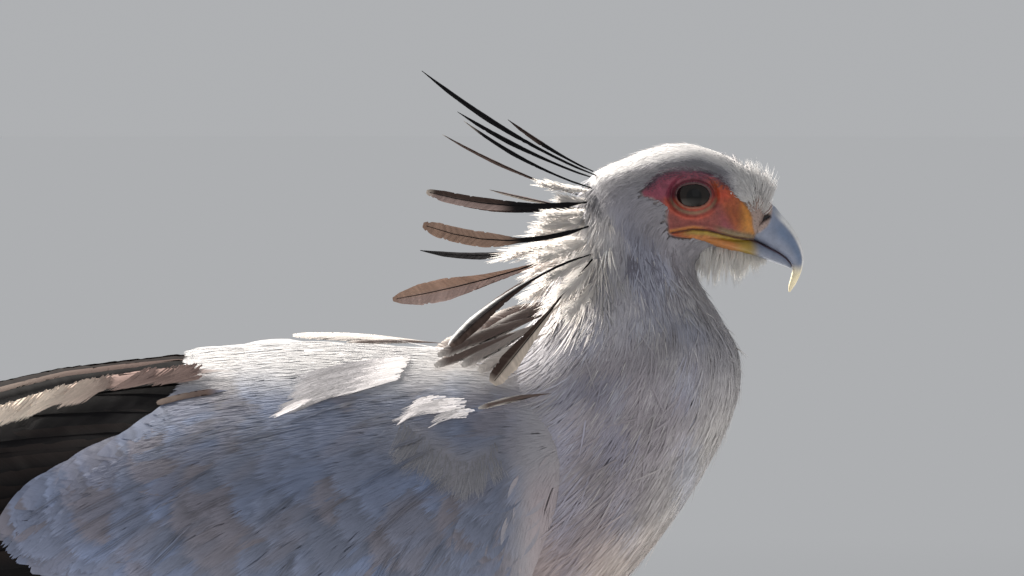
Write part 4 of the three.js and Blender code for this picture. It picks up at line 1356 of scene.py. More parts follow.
def make_wing_coat(material, side, mirror):
    """The pale coverts of a folded wing, from the shoulder back to the black feathers."""
    pile = Pile(41 + mirror, wing, 3.0, wing.end)
    dice = pile.dice

    def spacing(t, s):
        return np.interp(spline(WING, t)[..., 0], [-300, -150, 0, 34], [14, 13, 8.5, 6.5])

    def keep(t, s, p):
        return covert_distance(p) < 0

    top = 0.085 if mirror else 0.13
    t, s = scatter(wing, (3.2, wing.end - 0.02), (top, 1.02), spacing, keep, 51 + mirror)
    p = wing(t, s)
    n = len(t)
    length = np.interp(p[..., 0], [-300, -150, 0, 34], [96, 84, 52, 32]) * dice.uniform(0.8, 1.15, n)
    yaw = wing_yaw(s) + dice.normal(0, 0.06, n)
    paths = trace(wing, t, s, yaw, length, 7)
    fits = covert_distance(paths[0][-1]) < 3
    t, s, p, length = t[fits], s[fits], p[fits], length[fits]
    paths = tuple(part[:, fits] for part in paths)
    width = length * np.interp(p[..., 0], [-300, 0], [0.42, 0.55])
    lay_coverts(pile, paths, pile.place(t, s), length, width)
    edge_coverts(pile)
    pile.build("coat_wing_" + side, material, "pale_feather", mirror=mirror)


def wing_yaw(s):
    """How steeply the coverts run down across the wing, from its upper to its lower edge."""
    return -0.1 - 0.75 * smooth(0.05, 0.95, s)


def make_wing_strands(material, side, mirror):
    """Fine strands over the coverts, which blend their edges."""
    pile = Pile(44 + mirror, wing, 3.0, wing.end)

    def keep(t, s, p):
        return covert_distance(p) < -5

    def spacing(t, s):
        return np.interp(spline(WING, t)[..., 0], [-90, -40, 10], [4.0, 3.4, 3.1])

    top = -0.02 if mirror else 0.07
    t, s = scatter(wing, (3.4, wing.end - 0.02), (top, 1.02), spacing, keep, 54)
    p = wing(t, s)
    length = np.minimum(np.interp(p[..., 0], [-300, 0, 34], [26, 22, 16]), -0.85 * covert_distance(p))
    hairs(pile, t, s, length=length, width=1.6, depth=0.35, lift=0.08, strands=5, segments=4,
          tint=covert_colour, yaw=wing_yaw(s), spread=0.09, roll=0.012, shade=0.012, root_shade=0.98,
          rough=0.02, bulge=0.12)
    make_fold_shade(pile)
    if mirror:
        make_scapulars(pile)
        make_fringe(pile)
    pile.build("strands_wing_" + side, material, "pale_feather", mirror=mirror)


def make_fold_shade(pile):
    """Strips of painted shade along folds that sweep down and back between the coverts, and a few thin pale
    strips.
    """
    dice = pile.dice
    n = 64
    t = np.interp(dice.uniform(-265, -25, n), WING[:, 0], np.arange(len(WING)))
    s = dice.uniform(0.12, 0.98, n)
    length = dice.uniform(22, 70, n) * np.interp(s, [0.1, 0.6], [0.8, 1.1])
    yaw = wing_yaw(s) - dice.uniform(0.0, 0.3, n)
    paths = trace(wing, t, s, yaw, length, 6)
    fits = covert_distance(paths[0][-1]) < -2
    paths = tuple(part[:, fits] for part in paths)
    t, s, length = t[fits], s[fits], length[fits]
    pale = dice.random(len(t)) < 0.1

    def colour(x, y, owner):
        ground = covert_colour(lerp_path(paths[0], x, owner))
        # Painted shade: most strips darken the wing under them; a few thin ones are paler
        line = np.where(pale[owner], 0.7, 0.85) * smooth(1.0, 0.1, np.abs(y))
        line = line * smooth(0, 0.3, x) * smooth(1, 0.7, x)
        return mix(ground, ground * np.where(pale[owner], 1.5, 0.42)[..., None], line)

    width = np.where(pale, 0.8, dice.uniform(1.2, 2.8, len(t)))
    blades(pile, paths, pile.place(t, s), length=length, width=width, rows=14, colour=colour, fray=0.0,
           camber=0.0, height=lambda x, owner: 1.15 + 0.2 * x, rough=0.02, shade=0.0, streak=0.0)


# Lower edge of the pale lobe that the shoulder's down makes over the wing, in the side view
LOBE_EDGE = np.array([
    (-66, 786), (-60, 781), (-48, 774), (-38, 766), (-27, 762.5), (-17, 767), (-8, 774),
], float)


def on_wing(x, z, lift):
    """Places above the wing's surface at places of the side view."""
    t, s = wing_place(x, z)
    p, _, _, normal = form_frame(wing, t, s)
    return p + normal * np.broadcast_to(lift, len(p))[:, None], t, s


def make_fringe(pile):
    """Loose whitish hairs along the lower edge of the shoulder's down, over the front of the wing."""
    dice = pile.dice
    tufts = 34
    n = 420
    clump = dice.integers(0, tufts, n)
    middle = dice.uniform(-66, -8, tufts)
    x = middle[clump] + dice.normal(0, 2.4, n)
    edge = height_at(LOBE_EDGE, x)
    drop = dice.uniform(-1, 5, tufts)[clump] * dice.uniform(0.3, 1.2, n)
    top = edge + dice.uniform(3, 20, n)
    lean = (0.22 * (middle + 30) + dice.normal(-2, 2, tufts))[clump]
    root, t, s = on_wing(x - 0.3 * lean, top, 0.3)
    low_x = middle[clump] + 0.6 * (x - middle[clump]) + lean * 0.6
    tip, _, _ = on_wing(low_x, edge - drop, dice.uniform(0.5, 1.6, n))
    wisps(pile, root, tip, np.array([0.0, -0.4, 0.0]), width=0.4, tint=BLUE_GREY * (2.0, 1.72, 1.33),
          flat=SIDEWAYS, place=pile.place(t, s), root_shade_ramp=(0.62, 1.15))


def fan_outline(x):
    """Half-width share of a feather that is broadest past its middle, with a rounded end."""
    return np.interp(x, [0, 0.3, 0.65, 0.88, 0.97, 1.0], [0.3, 0.65, 1.0, 0.85, 0.5, 0.2])


SIDEWAYS = np.array([0, 1.0, 0.2])
STRAIGHT = np.zeros(3)
# Loose fans of barbs on the wing in the side view: the upper and the lower corner of the root and of the end,
# number of strands, height of the end above the wing, and the share turned to the light
SCAPULARS = (
    (((-58, 841), (-66, 828)), ((-129, 828), (-143, 804)), 1300, 3.0, 0.47),
    (((-96, 824), (-98, 820)), ((-141, 806), (-143.5, 802)), 170, 3.8, 0.75),
    (((-26, 818), (-27, 811)), ((-66, 811), (-72, 803)), 170, 2.0, 0.55),
    (((-38, 819), (-44, 812)), ((-60, 814), (-68, 801)), 150, 2.4, 0.65),
    (((-20, 812), (-26, 807)), ((-48, 806), (-50, 800)), 90, 1.8, 0.5),
)


def make_scapulars(pile):
    """Loose pale fans of barbs along the top of the wing, which catch the light."""
    dice = pile.dice
    for root, end, n, rise, lit in SCAPULARS:
        root, end = np.array(root, float), np.array(end, float)
        bands = max(4, n // 60)
        band = dice.integers(0, bands, n)
        v = np.clip((band + dice.random(n) ** 1.2) / bands, 0, 1)[:, None]
        start = dice.uniform(0.0, 0.75, n)
        stop = 1 - 0.16 * dice.random(bands)[band] - 0.06 * dice.random(n)
        reach = np.minimum(start + dice.uniform(0.2, 0.42, n), stop)

        def at(u, v):
            flat = (root[0] + (root[1] - root[0]) * v) * (1 - u) + (end[0] + (end[1] - end[0]) * v) * u
            swell = np.sin(math.pi * u[:, 0]) * 2.0
            lift = 0.8 + (rise - 0.8) * u[:, 0] - 0.5 * np.abs(v[:, 0] - 0.5)
            return on_wing(flat[:, 0], flat[:, 1] + swell, lift)

        base, t, s = at(start[:, None], v)
        tip, _, _ = at(reach[:, None], v + dice.normal(0.04, 0.035, (n, 1)))
        tone = dice.uniform(0.75, 1.2, bands)[band] * dice.uniform(0.6, 1.2, n)
        pale = PALE_DOWN * (1.0, 0.98, 1.02) * tone[:, None]
        tint = mix(covert_colour(base), pale, smooth(0.0, 0.45, start + 0.2))
        turned = (lit + (0.85 - lit) * smooth(0.4, 0.0, start))[:, None, None, None]
        wisps(pile, base, tip, STRAIGHT, width=0.55, tint=tint, flat=SIDEWAYS, place=pile.place(t, s),
              lit=turned, root_shade_ramp=(0.85, 1.1), segments=3)


def lay_coverts(pile, paths, place, length, width):
    """Soft coverts on paths over the wing, some with painted shade along a fold on one side."""
    n = len(length)
    fold_shade_depth = pile.dice.uniform(0.0, 0.35, n) ** 1.5

    def colour(x, y, owner):
        c = covert_colour(lerp_path(paths[0], x, owner))
        # Painted shade along a fold near one edge, and a faint darker line along the shaft
        fold_shade_and_shaft = fold_shade_depth[owner] * bell((y - 0.7) / 0.12, 1) + 0.05 * bell(y / 0.1, 1)
        # Painted shade towards each covert's root, where the ones in front cover it
        return c * (np.interp(x, [0, 0.5, 1], [0.85, 0.97, 1.03]) - fold_shade_and_shaft)[..., None]

    depth = np.interp(paths[0][0][..., 0], [-90, -20], [5.5, 2.2])
    height = shingle(depth, pile.dice.uniform(-0.35, 0.05, n))
    blades(pile, paths, place, length=length, width=width, rows=34, columns=8, colour=colour, fray=0.03,
           camber=0.02, height=height, rough=0.02, shade=0.02, streak=0.015, notch=0.05)


def edge_coverts(pile):
    """The rows of long coverts whose tips make the rear edge of the pale part of the wing."""
    dice = pile.dice
    steps = np.linalg.norm(np.diff(COVERT_EDGE, axis=0), axis=1)
    run = np.concatenate([[0], np.cumsum(steps)])
    for row, inset in enumerate((16.0, 0.0)):
        stops = np.arange(run[1] + 4 + 5 * row, run[-2] + 20, 11.0)
        tip = np.stack([np.interp(stops, run, COVERT_EDGE[:, k]) for k in (0, 1)], -1)
        n = len(tip)
        tip = tip + dice.normal(0, 1.6, tip.shape) + (inset, 0.35 * inset)
        length = np.interp(tip[:, 1], [680, 740, 820], [66, 88, 74]) * dice.uniform(0.9, 1.1, n)
        slope = np.interp(tip[:, 1], [680, 740, 820], [0.5, 0.5, 0.22])
        root = tip + np.stack([length * np.cos(slope), length * np.sin(slope)], -1)
        paths = wing_paths(root, tip, 7)
        lay_coverts(pile, paths, pile.place(*wing_place(*root.T)), length, length * 0.36)


def wing_paths(root, tip, steps, bow=0.0, below=-99.0):
    """Paths over the wing between places of the side view, so far below its upper edge."""
    u = np.linspace(0, 1, steps + 1)[:, None, None]
    flat = root * (1 - u) + tip * u
    flat[..., 1] += bow * 4 * u[..., 0] * (1 - u[..., 0])
    flat[..., 1] = np.minimum(flat[..., 1], np.interp(flat[..., 0], WING[:, 0], WING[:, 2]) - below)
    centres, normals = [], []
    for row in flat:
        t, s = wing_place(row[:, 0], row[:, 1])
        p, _, _, normal = form_frame(wing, t, s)
        centres.append(p)
        normals.append(normal)
    centres, normals = np.stack(centres), np.stack(normals)
    ahead = headings(centres)
    return centres, unit(np.cross(normals, ahead)), normals


def quill_set(pile, root, tip, width, depth, colour, bow, below=-99.0, **shape):
    """Long wing feathers between places of the side view, each at its own depth under the wing's surface."""
    paths = wing_paths(root, tip, 10, bow, below)
    length = np.linalg.norm(tip - root, axis=1)

    def height(x, owner):
        return -np.take(depth, owner) + 0.0 * x

    shape = {"fray": 0.05, "shaft": 1.4, "slant": 0.08, **shape}
    blades(pile, paths, None, length=length, width=width, rows=70, columns=7, colour=colour,
           outline=long_outline, camber=0.03, height=height, rough=0.02, **shape)


def soot_colour(x, y, owner):
    """Black vanes with a thin worn paler edge."""
    worn = smooth(0.86, 0.99, np.abs(y)) + smooth(0.93, 1.0, x)
    return mix(SOOT, BROWN_VANE * 0.12, 0.4 * np.clip(worn, 0, 1))


def tertial_colour(x, y, owner):
    """The first is pinkish brown, and cream over its outer half. The others are dark brown."""
    c = mix(BROWN_VANE * (1.02, 0.99, 1.0), CREAM * 1.15, smooth(0.35, 0.7, x) * smooth(-1.3, -0.4, y))
    c = mix(c, BROWN_VANE * 0.6, 0.7 * bell((y + 0.25) / 0.3, 1) * smooth(0.75, 0.4, x))
    c = mix(c, BROWN_VANE * 0.33, 0.9 * (owner > 0))
    c = mix(c, PALE_DOWN, (owner == 0) * smooth(0.16, 0.02, x))
    return mix(c, BLUE_GREY * 0.9, (owner == 1) * smooth(0.3, 0.02, x))


def tertial_fringe(pile, root, tip, bow):
    """Combed barbs that leave the lower edge of a tertial in loose clumps."""
    dice = pile.dice
    n = 900
    tufts = 30
    clump = dice.integers(0, tufts, n)
    x = np.clip((0.12 + 0.86 * dice.random(tufts))[clump] + dice.normal(0, 0.012, n), 0.1, 0.99)
    start = dice.uniform(-4, 4.5, n)
    reach = dice.uniform(0.05, 0.11, tufts)[clump] * dice.uniform(0.7, 1.1, n)
    fall = dice.uniform(5.5, 9.5, tufts)[clump] * dice.uniform(0.8, 1.05, n)
    fall = fall * np.interp(x, [0.1, 0.4], [0.7, 1])

    def place_on(share, drop):
        flat = root + (tip - root) * share[:, None]
        z = flat[:, 1] + bow * 4 * share * (1 - share) - drop
        return on_wing(flat[:, 0], z, 2.9)[0]

    base = place_on(x, start)
    end = place_on(x + reach, np.maximum(fall, start + 2))
    tint = mix(BROWN_VANE * 1.1, CREAM * 1.3, smooth(0.3, 0.65, x))
    tint = tint * dice.uniform(0.8, 1.15, tufts)[clump][:, None]
    wisps(pile, base, end, STRAIGHT, width=0.8, tint=tint, flat=SIDEWAYS, segments=3, lit=0.25,
          root_shade_ramp=(0.85, 1.1))


# Root and tip in the side view, width, depth under the wing's surface, and bow
TERTIALS = np.array([
    (-158, 831, -346, 786, 12, -2.4, 12.5),
    (-166, 821.5, -208, 814, 5.5, -0.6, 1.5),
    (-180, 838, -344, 810, 5, 0.5, 12.5),
])


def make_flight_feathers(material, side, mirror):
    """The black secondaries and primaries, and the brown and cream tertials over them."""
    pile = Pile(61 + mirror)
    dice = pile.dice
    count, outer = 15, 8
    total = count + outer
    share = (np.arange(count) + 0.5) / count
    swell = 24 * np.sin(math.pi * share)
    tip = np.stack([-338 - 290 * share - swell, 830 - 190 * share - 0.6 * swell], -1)
    tip = tip + dice.normal(0, 3, tip.shape)
    root = np.stack([-130 - 30 * np.sin(math.pi * share), 828 - 118 * share], -1)
    depth = 2.4 + 1.5 * share
    quill_set(pile, root, tip, 46.0, depth, soot_colour, 10.0, below=13.0, lean=0.25, strip=(0, total))
    share = (np.arange(outer) + 0.5) / outer
    tip = np.stack([-420 - 195 * share, 668 - 24 * share], -1)
    root = np.stack([-150 - 40 * share, 690 - 6 * share], -1)
    quill_set(pile, root, tip, 30.0, 5.0 + share, soot_colour, 4.0, strip=(count, total))
    pile.build("quills_" + side, material, "black_feather", "secondaries_" + side, "primaries_" + side,
               mirror=mirror)
    pile = Pile(dice)
    root, tip, (width, depth, bow) = TERTIALS[:, :2], TERTIALS[:, 2:4], TERTIALS[:, 4:].T
    quill_set(pile, root, tip, width, depth, tertial_colour, bow, below=1.5, strip=(0, 3), fray=0.4,
              notch=0.3, shaft=0.0, slant=0.25)
    tertial_fringe(pile, root[0], tip[0], bow[0])
    pile.build("tertials_" + side, material, "pale_feather", mirror=mirror)


# Crest plumes of the right side, middle and left: root, tip, sag, width, and roll away from lying flat
# against the side view
PLUMES = np.array([
    (50, -8, 946, -54, -16, 1009, -5, 6.5, 60),
    (49, 6, 944, -33, 14, 984, -3, 6, 62),
    (47, -16, 939, -29, -27, 979.5, -4, 5.5, 64),
    (48, 14, 948, -3, 26, 979, -2, 5, 58),
    (46, 21, 932, -42, 37, 970, -3, 6, 70),
    (44, -20, 931, -51, -38, 938, -5, 7.6, 24),
    (45, 2, 926, -14, 3, 938, -1, 3.2, 50),
    (44, 24, 927, -49, 44, 935, -5, 6.5, 24),
    (45, -25, 917, -53, -47, 919, -9, 9.5, 12),
    (40, 8, 909, -55, 12, 902, -6, 10, 66),
    (38, -12, 903, -71, -26, 874, -3, 13.5, 8),
    (36, 18, 901, -60, 38, 873.5, -3, 10, 8),
    (47, -30, 901, -37, -62, 847.5, 8, 11, 40),
    (47, -34, 898, -12, -71, 826, 0, 12, 6),
    (40, 31, 896.5, -34, 63, 846, 8, 8, 40),
], float)
# Width along a plume as shares of its length and of its greatest width
LANCE = ((0, 0.35), (0.3, 0.5), (0.62, 1), (0.85, 0.7), (1, 0.05))
STRAP = ((0, 0.4), (0.3, 0.5), (0.5, 0.85), (0.6, 1), (0.88, 0.95), (0.97, 0.6), (1, 0.15))
CLUB = ((0, 0.3), (0.42, 0.33), (0.52, 0.75), (0.62, 1), (0.9, 0.95), (0.97, 0.6), (1, 0.15))
PADDLE = ((0, 0.1), (0.25, 0.14), (0.5, 0.5), (0.7, 1), (0.84, 0.95), (0.95, 0.5), (1, 0.08))
SPADE = ((0, 0.12), (0.4, 0.2), (0.6, 0.55), (0.82, 1), (0.95, 0.8), (1, 0.3))
# The plume whose upper edge catches the light
LIT_PLUME = 12
DARK_BROWN = rgb(0.075, 0.05, 0.042)
PINK_BROWN = rgb(0.34, 0.25, 0.225)
WARM_BROWN = rgb(0.38, 0.25, 0.19)
# Outline, where the coloured part begins, colours of its upper and lower vane, and colour of the very tip
PLUME_LOOKS = (
    (LANCE, 1.2, SOOT, SOOT, SOOT), (LANCE, 1.2, SOOT, SOOT, SOOT), (LANCE, 0.9, CREAM, CREAM, CREAM),
    (LANCE, 0.6, DARK_BROWN, DARK_BROWN, DARK_BROWN), (LANCE, 0.2, DARK_BROWN * 1.6, DARK_BROWN * 2, CREAM),
    (STRAP, 0.5, DARK_BROWN, PINK_BROWN, CREAM), (LANCE, 0.3, PINK_BROWN, CREAM, CREAM),
    (STRAP, 0.5, DARK_BROWN, DARK_BROWN, SOOT), (CLUB, 0.45, WARM_BROWN, WARM_BROWN * 0.9, WARM_BROWN),
    (LANCE, 1.2, SOOT, SOOT, SOOT), (PADDLE, 0.1, WARM_BROWN * 1.1, PINK_BROWN * 1.1, WARM_BROWN),
    (PADDLE, 0.2, DARK_BROWN * 2, DARK_BROWN * 2, DARK_BROWN),
    (SPADE, 0.3, SOOT * 2, DARK_BROWN * 0.8, DARK_BROWN),
    (SPADE, 0.3, DARK_BROWN * 0.8, CREAM * 0.9, CREAM), (SPADE, 0.3, DARK_BROWN, SOOT * 2, SOOT),
)


def free_paths(root, tip, rise, roll, steps):
    """Curved paths through the air. Roll turns each feather's flat side about its length."""
    middle = (root + tip) / 2
    middle[:, 2] += 2 * rise
    u = np.linspace(0, 1, steps + 1)[:, None, None]
    centres = bent(u, root, middle, tip)
    ahead = headings(centres)
    level = unit(np.array([0.0, 1.0, 0.0]) - ahead * ahead[..., 1:2])
    roll = roll[None, :, None]
    sides = -level * np.cos(roll) - np.cross(level, ahead) * np.sin(roll)
    return centres, sides, np.cross(ahead, sides)


def make_crest(material):
    pile = Pile(71)
    roll = np.radians(90 - PLUMES[:, 8])
    paths = free_paths(PLUMES[:, :3], PLUMES[:, 3:6], PLUMES[:, 6], roll, 12)
    length = np.linalg.norm(PLUMES[:, 3:6] - PLUMES[:, :3], axis=1)
    for i, (shape, start, upper, lower, end) in enumerate(PLUME_LOOKS):
        stops, widths = np.array(shape).T

        def outline(x):
            return np.interp(x, stops, widths)

        def colour(x, y, owner):
            side = smooth(-0.15, 0.15, y + 0 * x)
            vane = mix(mix(upper, lower, side), end, smooth(0.93, 1.0, x))
            vane = mix(vane, vane * 1.5, 0.6 * smooth(0.75, 1.0, np.abs(y)))
            if i == LIT_PLUME:
                vane = mix(vane, PALE_DOWN * 1.3, smooth(-0.45, -0.7, y / outline(x)))
            return mix(SOOT * 1.3, vane, smooth(start - 0.06, start + 0.08, x))

        one = tuple(part[:, i:i + 1] for part in paths)
        blades(pile, one, None, length=length[i], width=PLUMES[i, 7], rows=80, columns=9, colour=colour,
               outline=outline, slant=0.12, fray=0.3, camber=0.06, shaft=1.1, shaft_tint=SOOT, streak=0.1,
               notch=0.12, strip=(i, len(PLUMES)))
    nodes = ["plume_%02d" % (i + 1) for i in range(len(PLUMES))]
    pile.build("crest", material, "crest_feather", *nodes)


# Downy feathers between the roots of the plumes: root, tip and width
DOWNY = np.array([
    (46, -10, 938, 14, -14, 943, 6), (46, -14, 932, 24, -18, 934, 8), (48, -12, 926, 14, -16, 924, 10),
    (46, -14, 918, 6, -20, 912, 10), (48, -20, 910, 8, -28, 897, 13), (46, -14, 920, 12, -20, 918, 10),
    (46, -14, 912, -10, -18, 899, 11), (44, 4, 922, 16, 8, 916, 12), (44, 16, 914, 10, 26, 902, 12),
    (48, -26, 903, 14, -40, 884, 14), (50, -33, 898, 24, -50, 874, 15), (44, 26, 908, 16, 44, 884, 14),
    (45, -8, 908, 6, -14, 888, 14), (44, 8, 905, 6, 12, 884, 14), (46, 28, 902, 18, 50, 870, 14),
    (46, -30, 894, 18, -48, 866, 14), (40, 0, 898, 6, 0, 872, 16), (52, -34, 888, 28, -54, 862, 13),
], float)


def make_downy(pile, rows, count, tint):
    """Each feather is a fan of fine strands that leave its shaft on both sides."""
    dice = pile.dice
    root, tip = rows[:, :3], rows[:, 3:6]
    roll = np.full(len(rows), math.radians(72))
    centres, sides, _ = free_paths(root, tip, np.full(len(rows), -1.5), roll, 8)
    owner = np.repeat(np.arange(len(rows)), count)
    n = len(owner)
    start = dice.uniform(0.0, 0.72, n)
    reach = start + dice.uniform(0.18, 0.42, n)
    y = dice.uniform(-1, 1, n) * np.interp(reach, [0, 0.3, 0.8, 1.15], [0.2, 0.8, 1.0, 0.55])

    def at(path, x):
        return lerp_path(path, x[:, None], owner[:, None])[:, 0]

    base = at(centres, start)
    end = at(centres, reach) + (tip - root)[owner] * np.maximum(reach - 1, 0)[:, None]
    end = end + at(sides, reach) * (y * rows[owner, 6] / 2)[:, None] + dice.normal(0, 0.7, (n, 3))
    bend = at(sides, start) * (y * rows[owner, 6] * 0.1)[:, None]
    tint = tint * dice.normal(1, 0.05, len(rows))[owner][:, None]
    wisps(pile, base, end, bend, width=0.55, tint=tint, flat=outward(base[:, 1]), lit=0.65)


def make_ruff(material):
    """Loose pale feathers at the nape, between the roots of the plumes, and down the back of the neck."""
    pile = Pile(72, body, 9, 15)
    dice = pile.dice
    t, a = scatter(body, (10.8, 14.0), (-1.05, 1.05), even(3.4), anywhere, 73)
    n = len(t)
    back = np.clip(np.cos(a), 0, 1)
    length = dice.uniform(18, 34, n) * (0.5 + 0.5 * back) * np.interp(t, [12.8, 14], [1, 0.6])
    stand = length * dice.uniform(0.0, 0.4, n) * back ** 2
    white = PALE_DOWN * (1.25, 1.2, 1.14)
    p = body(t, a)
    low = smooth(936, 916, p[..., 2])
    tint = mix(down_colour(t, a, p), white, dice.uniform(0.3, 1.0, n) * low)
    hairs(pile, t, a, length=length, width=0.8, depth=3.0, lift=0.8, strands=9, segments=5, tint=tint,
          yaw=dice.normal(0, 0.16, n), stray=0.02, stand=stand, root_shade=0.9, lit=0.4 * low)
    t, a = scatter(body, (9.1, 12.0), (-1.2, 1.2), even(4.6), anywhere, 74)
    n = len(t)
    length = dice.uniform(24, 42, n)
    share = dice.uniform(0.2, 1.0, n) * smooth(1.25, 0.8, np.abs(a))
    tint = mix(down_colour(t, a, body(t, a)), white, share)
    hairs(pile, t, a, length=length, width=0.85, depth=2.5, lift=1.2, strands=8, segments=5, tint=tint,
          yaw=dice.normal(0, 0.12, n), spread=0.1, stray=0.03, bulge=0.3, rough=0.06,
          stand=dice.uniform(0, 3.5, n) * smooth(1.2, 0.7, np.abs(a)), root_shade=0.85, lit=0.75)
    make_downy(pile, DOWNY, 170, white)
    make_shoulder_feathers(pile)
    pile.build("coat_ruff", material, "grey_feather")


# Long feathers over the shoulder: root, tip, width, roll in degrees, share of dark brown, and share turned
# to the light
SHOULDER = np.array([
    (28, -38, 874, -16, -46, 854, 9, 60, 1.0, 0), (26, -42, 868, -44, -50, 842, 10, 62, 0.8, 0),
    (24, -44, 864, -30, -54, 836, 9, 60, 0.5, 0.2), (22, -46, 860, -46, -52, 836, 8, 66, 0.9, 0),
    (22, -48, 856, -20, -58, 833, 9, 62, 0.3, 0.3), (26, -68, 821, -20, -80, 812.5, 4, 84, 1.0, 0),
    (26, 40, 872, -22, 47, 853, 12, 60, 0.9, 0), (24, 44, 866, -46, 50, 841, 13, 56, 0.5, 0),
    (-40, 16, 846.5, -130, 20, 851.5, 7.5, 40, 0.12, 0.3), (-36, 10, 846.5, -98, 10, 847.5, 4.5, 40, 0.9, 0),
], float)


def make_shoulder_feathers(pile):
    rows = SHOULDER
    root, tip = rows[:, :3], rows[:, 3:6]
    paths = free_paths(root, tip, np.full(len(rows), 1.5), np.radians(rows[:, 7]), 8)

    def colour(x, y, owner):
        dark = rows[owner, 8]
        middle = smooth(0.95, 0.35, np.abs(y) + 0.12 * np.sin(11 * x + 5 * owner)) * smooth(1.02, 0.85, x)
        return mix(mix(PALE_DOWN * 1.05, CREAM, 0.5), DARK_BROWN * 1.4, middle * np.minimum(1.4 * dark, 1))

    length = np.linalg.norm(tip - root, axis=1)
    blades(pile, paths, pile.dice.uniform(0, FREE_EDGE, (len(rows), 2)), length=length,
           width=rows[:, 6], rows=90, columns=15, colour=colour, outline=fan_outline, slant=0.45, fray=0.6,
           notch=0.5, rough=0.08, streak=0.1, lit=rows[:, 9][:, None, None, None])


def outward(y, up=0.2):
    """The way that loose strands face on either side of the middle plane."""
    return np.stack([0 * y, np.where(y > 1, 1.0, -1.0), 0 * y + up], -1)


def wisps(pile, root, tip, bend, *, width, tint, flat, segments=4, place=None, lit=0.0, root_shade_ramp=(0.85, 1.08)):
    """Single thin strands on curved lines from root to tip."""
    dice = pile.dice
    n = len(root)
    u = np.linspace(0, 1, segments + 1)[:, None, None]
    middle = (root + tip) / 2 + bend
    line = bent(u, root, middle, tip)
    ahead = headings(line)
    across = unit(np.cross(np.broadcast_to(flat, ahead.shape), ahead))
    half = np.broadcast_to(width, n)[None, :, None] / 2 * np.interp(u, [0, 0.4, 1], [1, 0.9, 0.12])
    points = ribbons(line, across, half)
    rows = segments + 1
    out = np.cross(ahead, across)
    facing = sunward(ribbons(out, across, 0.4), lit)
    # Painted shade: the tone runs from the root's share to the tip's, darker where strands are covered near
    # their roots
    tone = dice.normal(1, 0.06, n)[:, None] * np.interp(u[:, 0, 0], [0, 1], root_shade_ramp)
    colour = np.clip(np.broadcast_to(tint, (n, 3))[:, None] * tone[..., None], 0, BRIGHTEST)[:, :, None]
    lanes = np.zeros((n, rows, 2, 3))
    lanes[..., 2] = dice.uniform(0, LANE_SEEDS, n)[:, None, None]
    if place is None:
        place = dice.uniform(0, FREE_EDGE, (n, 2))
    uv = place[:, None, None, :] + PATCH * np.stack(grid_of(u[:, 0, 0], (0, 1)), -1)
    pile.add(points, strip_quads(n, rows, 2), colour, lanes, uv, facing)


# Underside of the beard in the side view: X, and the height of its roots and of its ends
BEARD = np.array([
    (103, 905, 890), (109, 905, 882.5), (116, 904, 882), (124, 902, 881), (131, 900.5, 882),
    (138, 898.5, 884), (143, 897.5, 889), (148, 896.5, 894),
])


def make_beard(material):
    """White loose strands that hang from under the lower bill."""
    pile = Pile(81)
    dice = pile.dice
    n = 3000
    tufts = 110
    x0 = dice.uniform(100, 148, tufts)
    order = dice.integers(0, tufts, n)
    x = np.clip(x0[order] + dice.normal(0, 1.6, n), 99.5, 148)
    wide = np.interp(x, [99, 112, 124, 135, 148], [14, 13, 10, 7, 2.5])
    y = wide * np.clip(dice.uniform(-0.95, 0.95, tufts)[order] + dice.normal(0, 0.12, n), -1, 1)
    top = np.interp(x, BEARD[:, 0], BEARD[:, 1]) + 2.0
    low = np.interp(x, BEARD[:, 0], BEARD[:, 2])
    reach = dice.uniform(0.5, 1.05, tufts)[order] ** 1.3 * dice.uniform(0.45, 1.1, n)
    end = top + (low - top) * reach
    root = np.stack([x, y, top], -1)
    drift = dice.normal(-0.6, 1.8, tufts)[order] + dice.normal(0, 0.7, n)
    tip = np.stack([x + (x0[order] - x) * 0.35 + drift, y * 0.9 + dice.normal(0, 0.8, n), end], -1)
    bend = np.stack([dice.normal(0.6, 1.0, n), dice.normal(0, 0.6, n), np.zeros(n)], -1)
    place = np.stack([(x - 99) / 50, (y + 16) / 33], -1) * 0.99
    wisps(pile, root, tip, bend, width=0.42, tint=WHITE_DOWN, flat=outward(y), segments=3, place=place,
          lit=0.38, root_shade_ramp=(0.68, 1.12))
    pile.build("beard", material, "pale_feather", "chin")


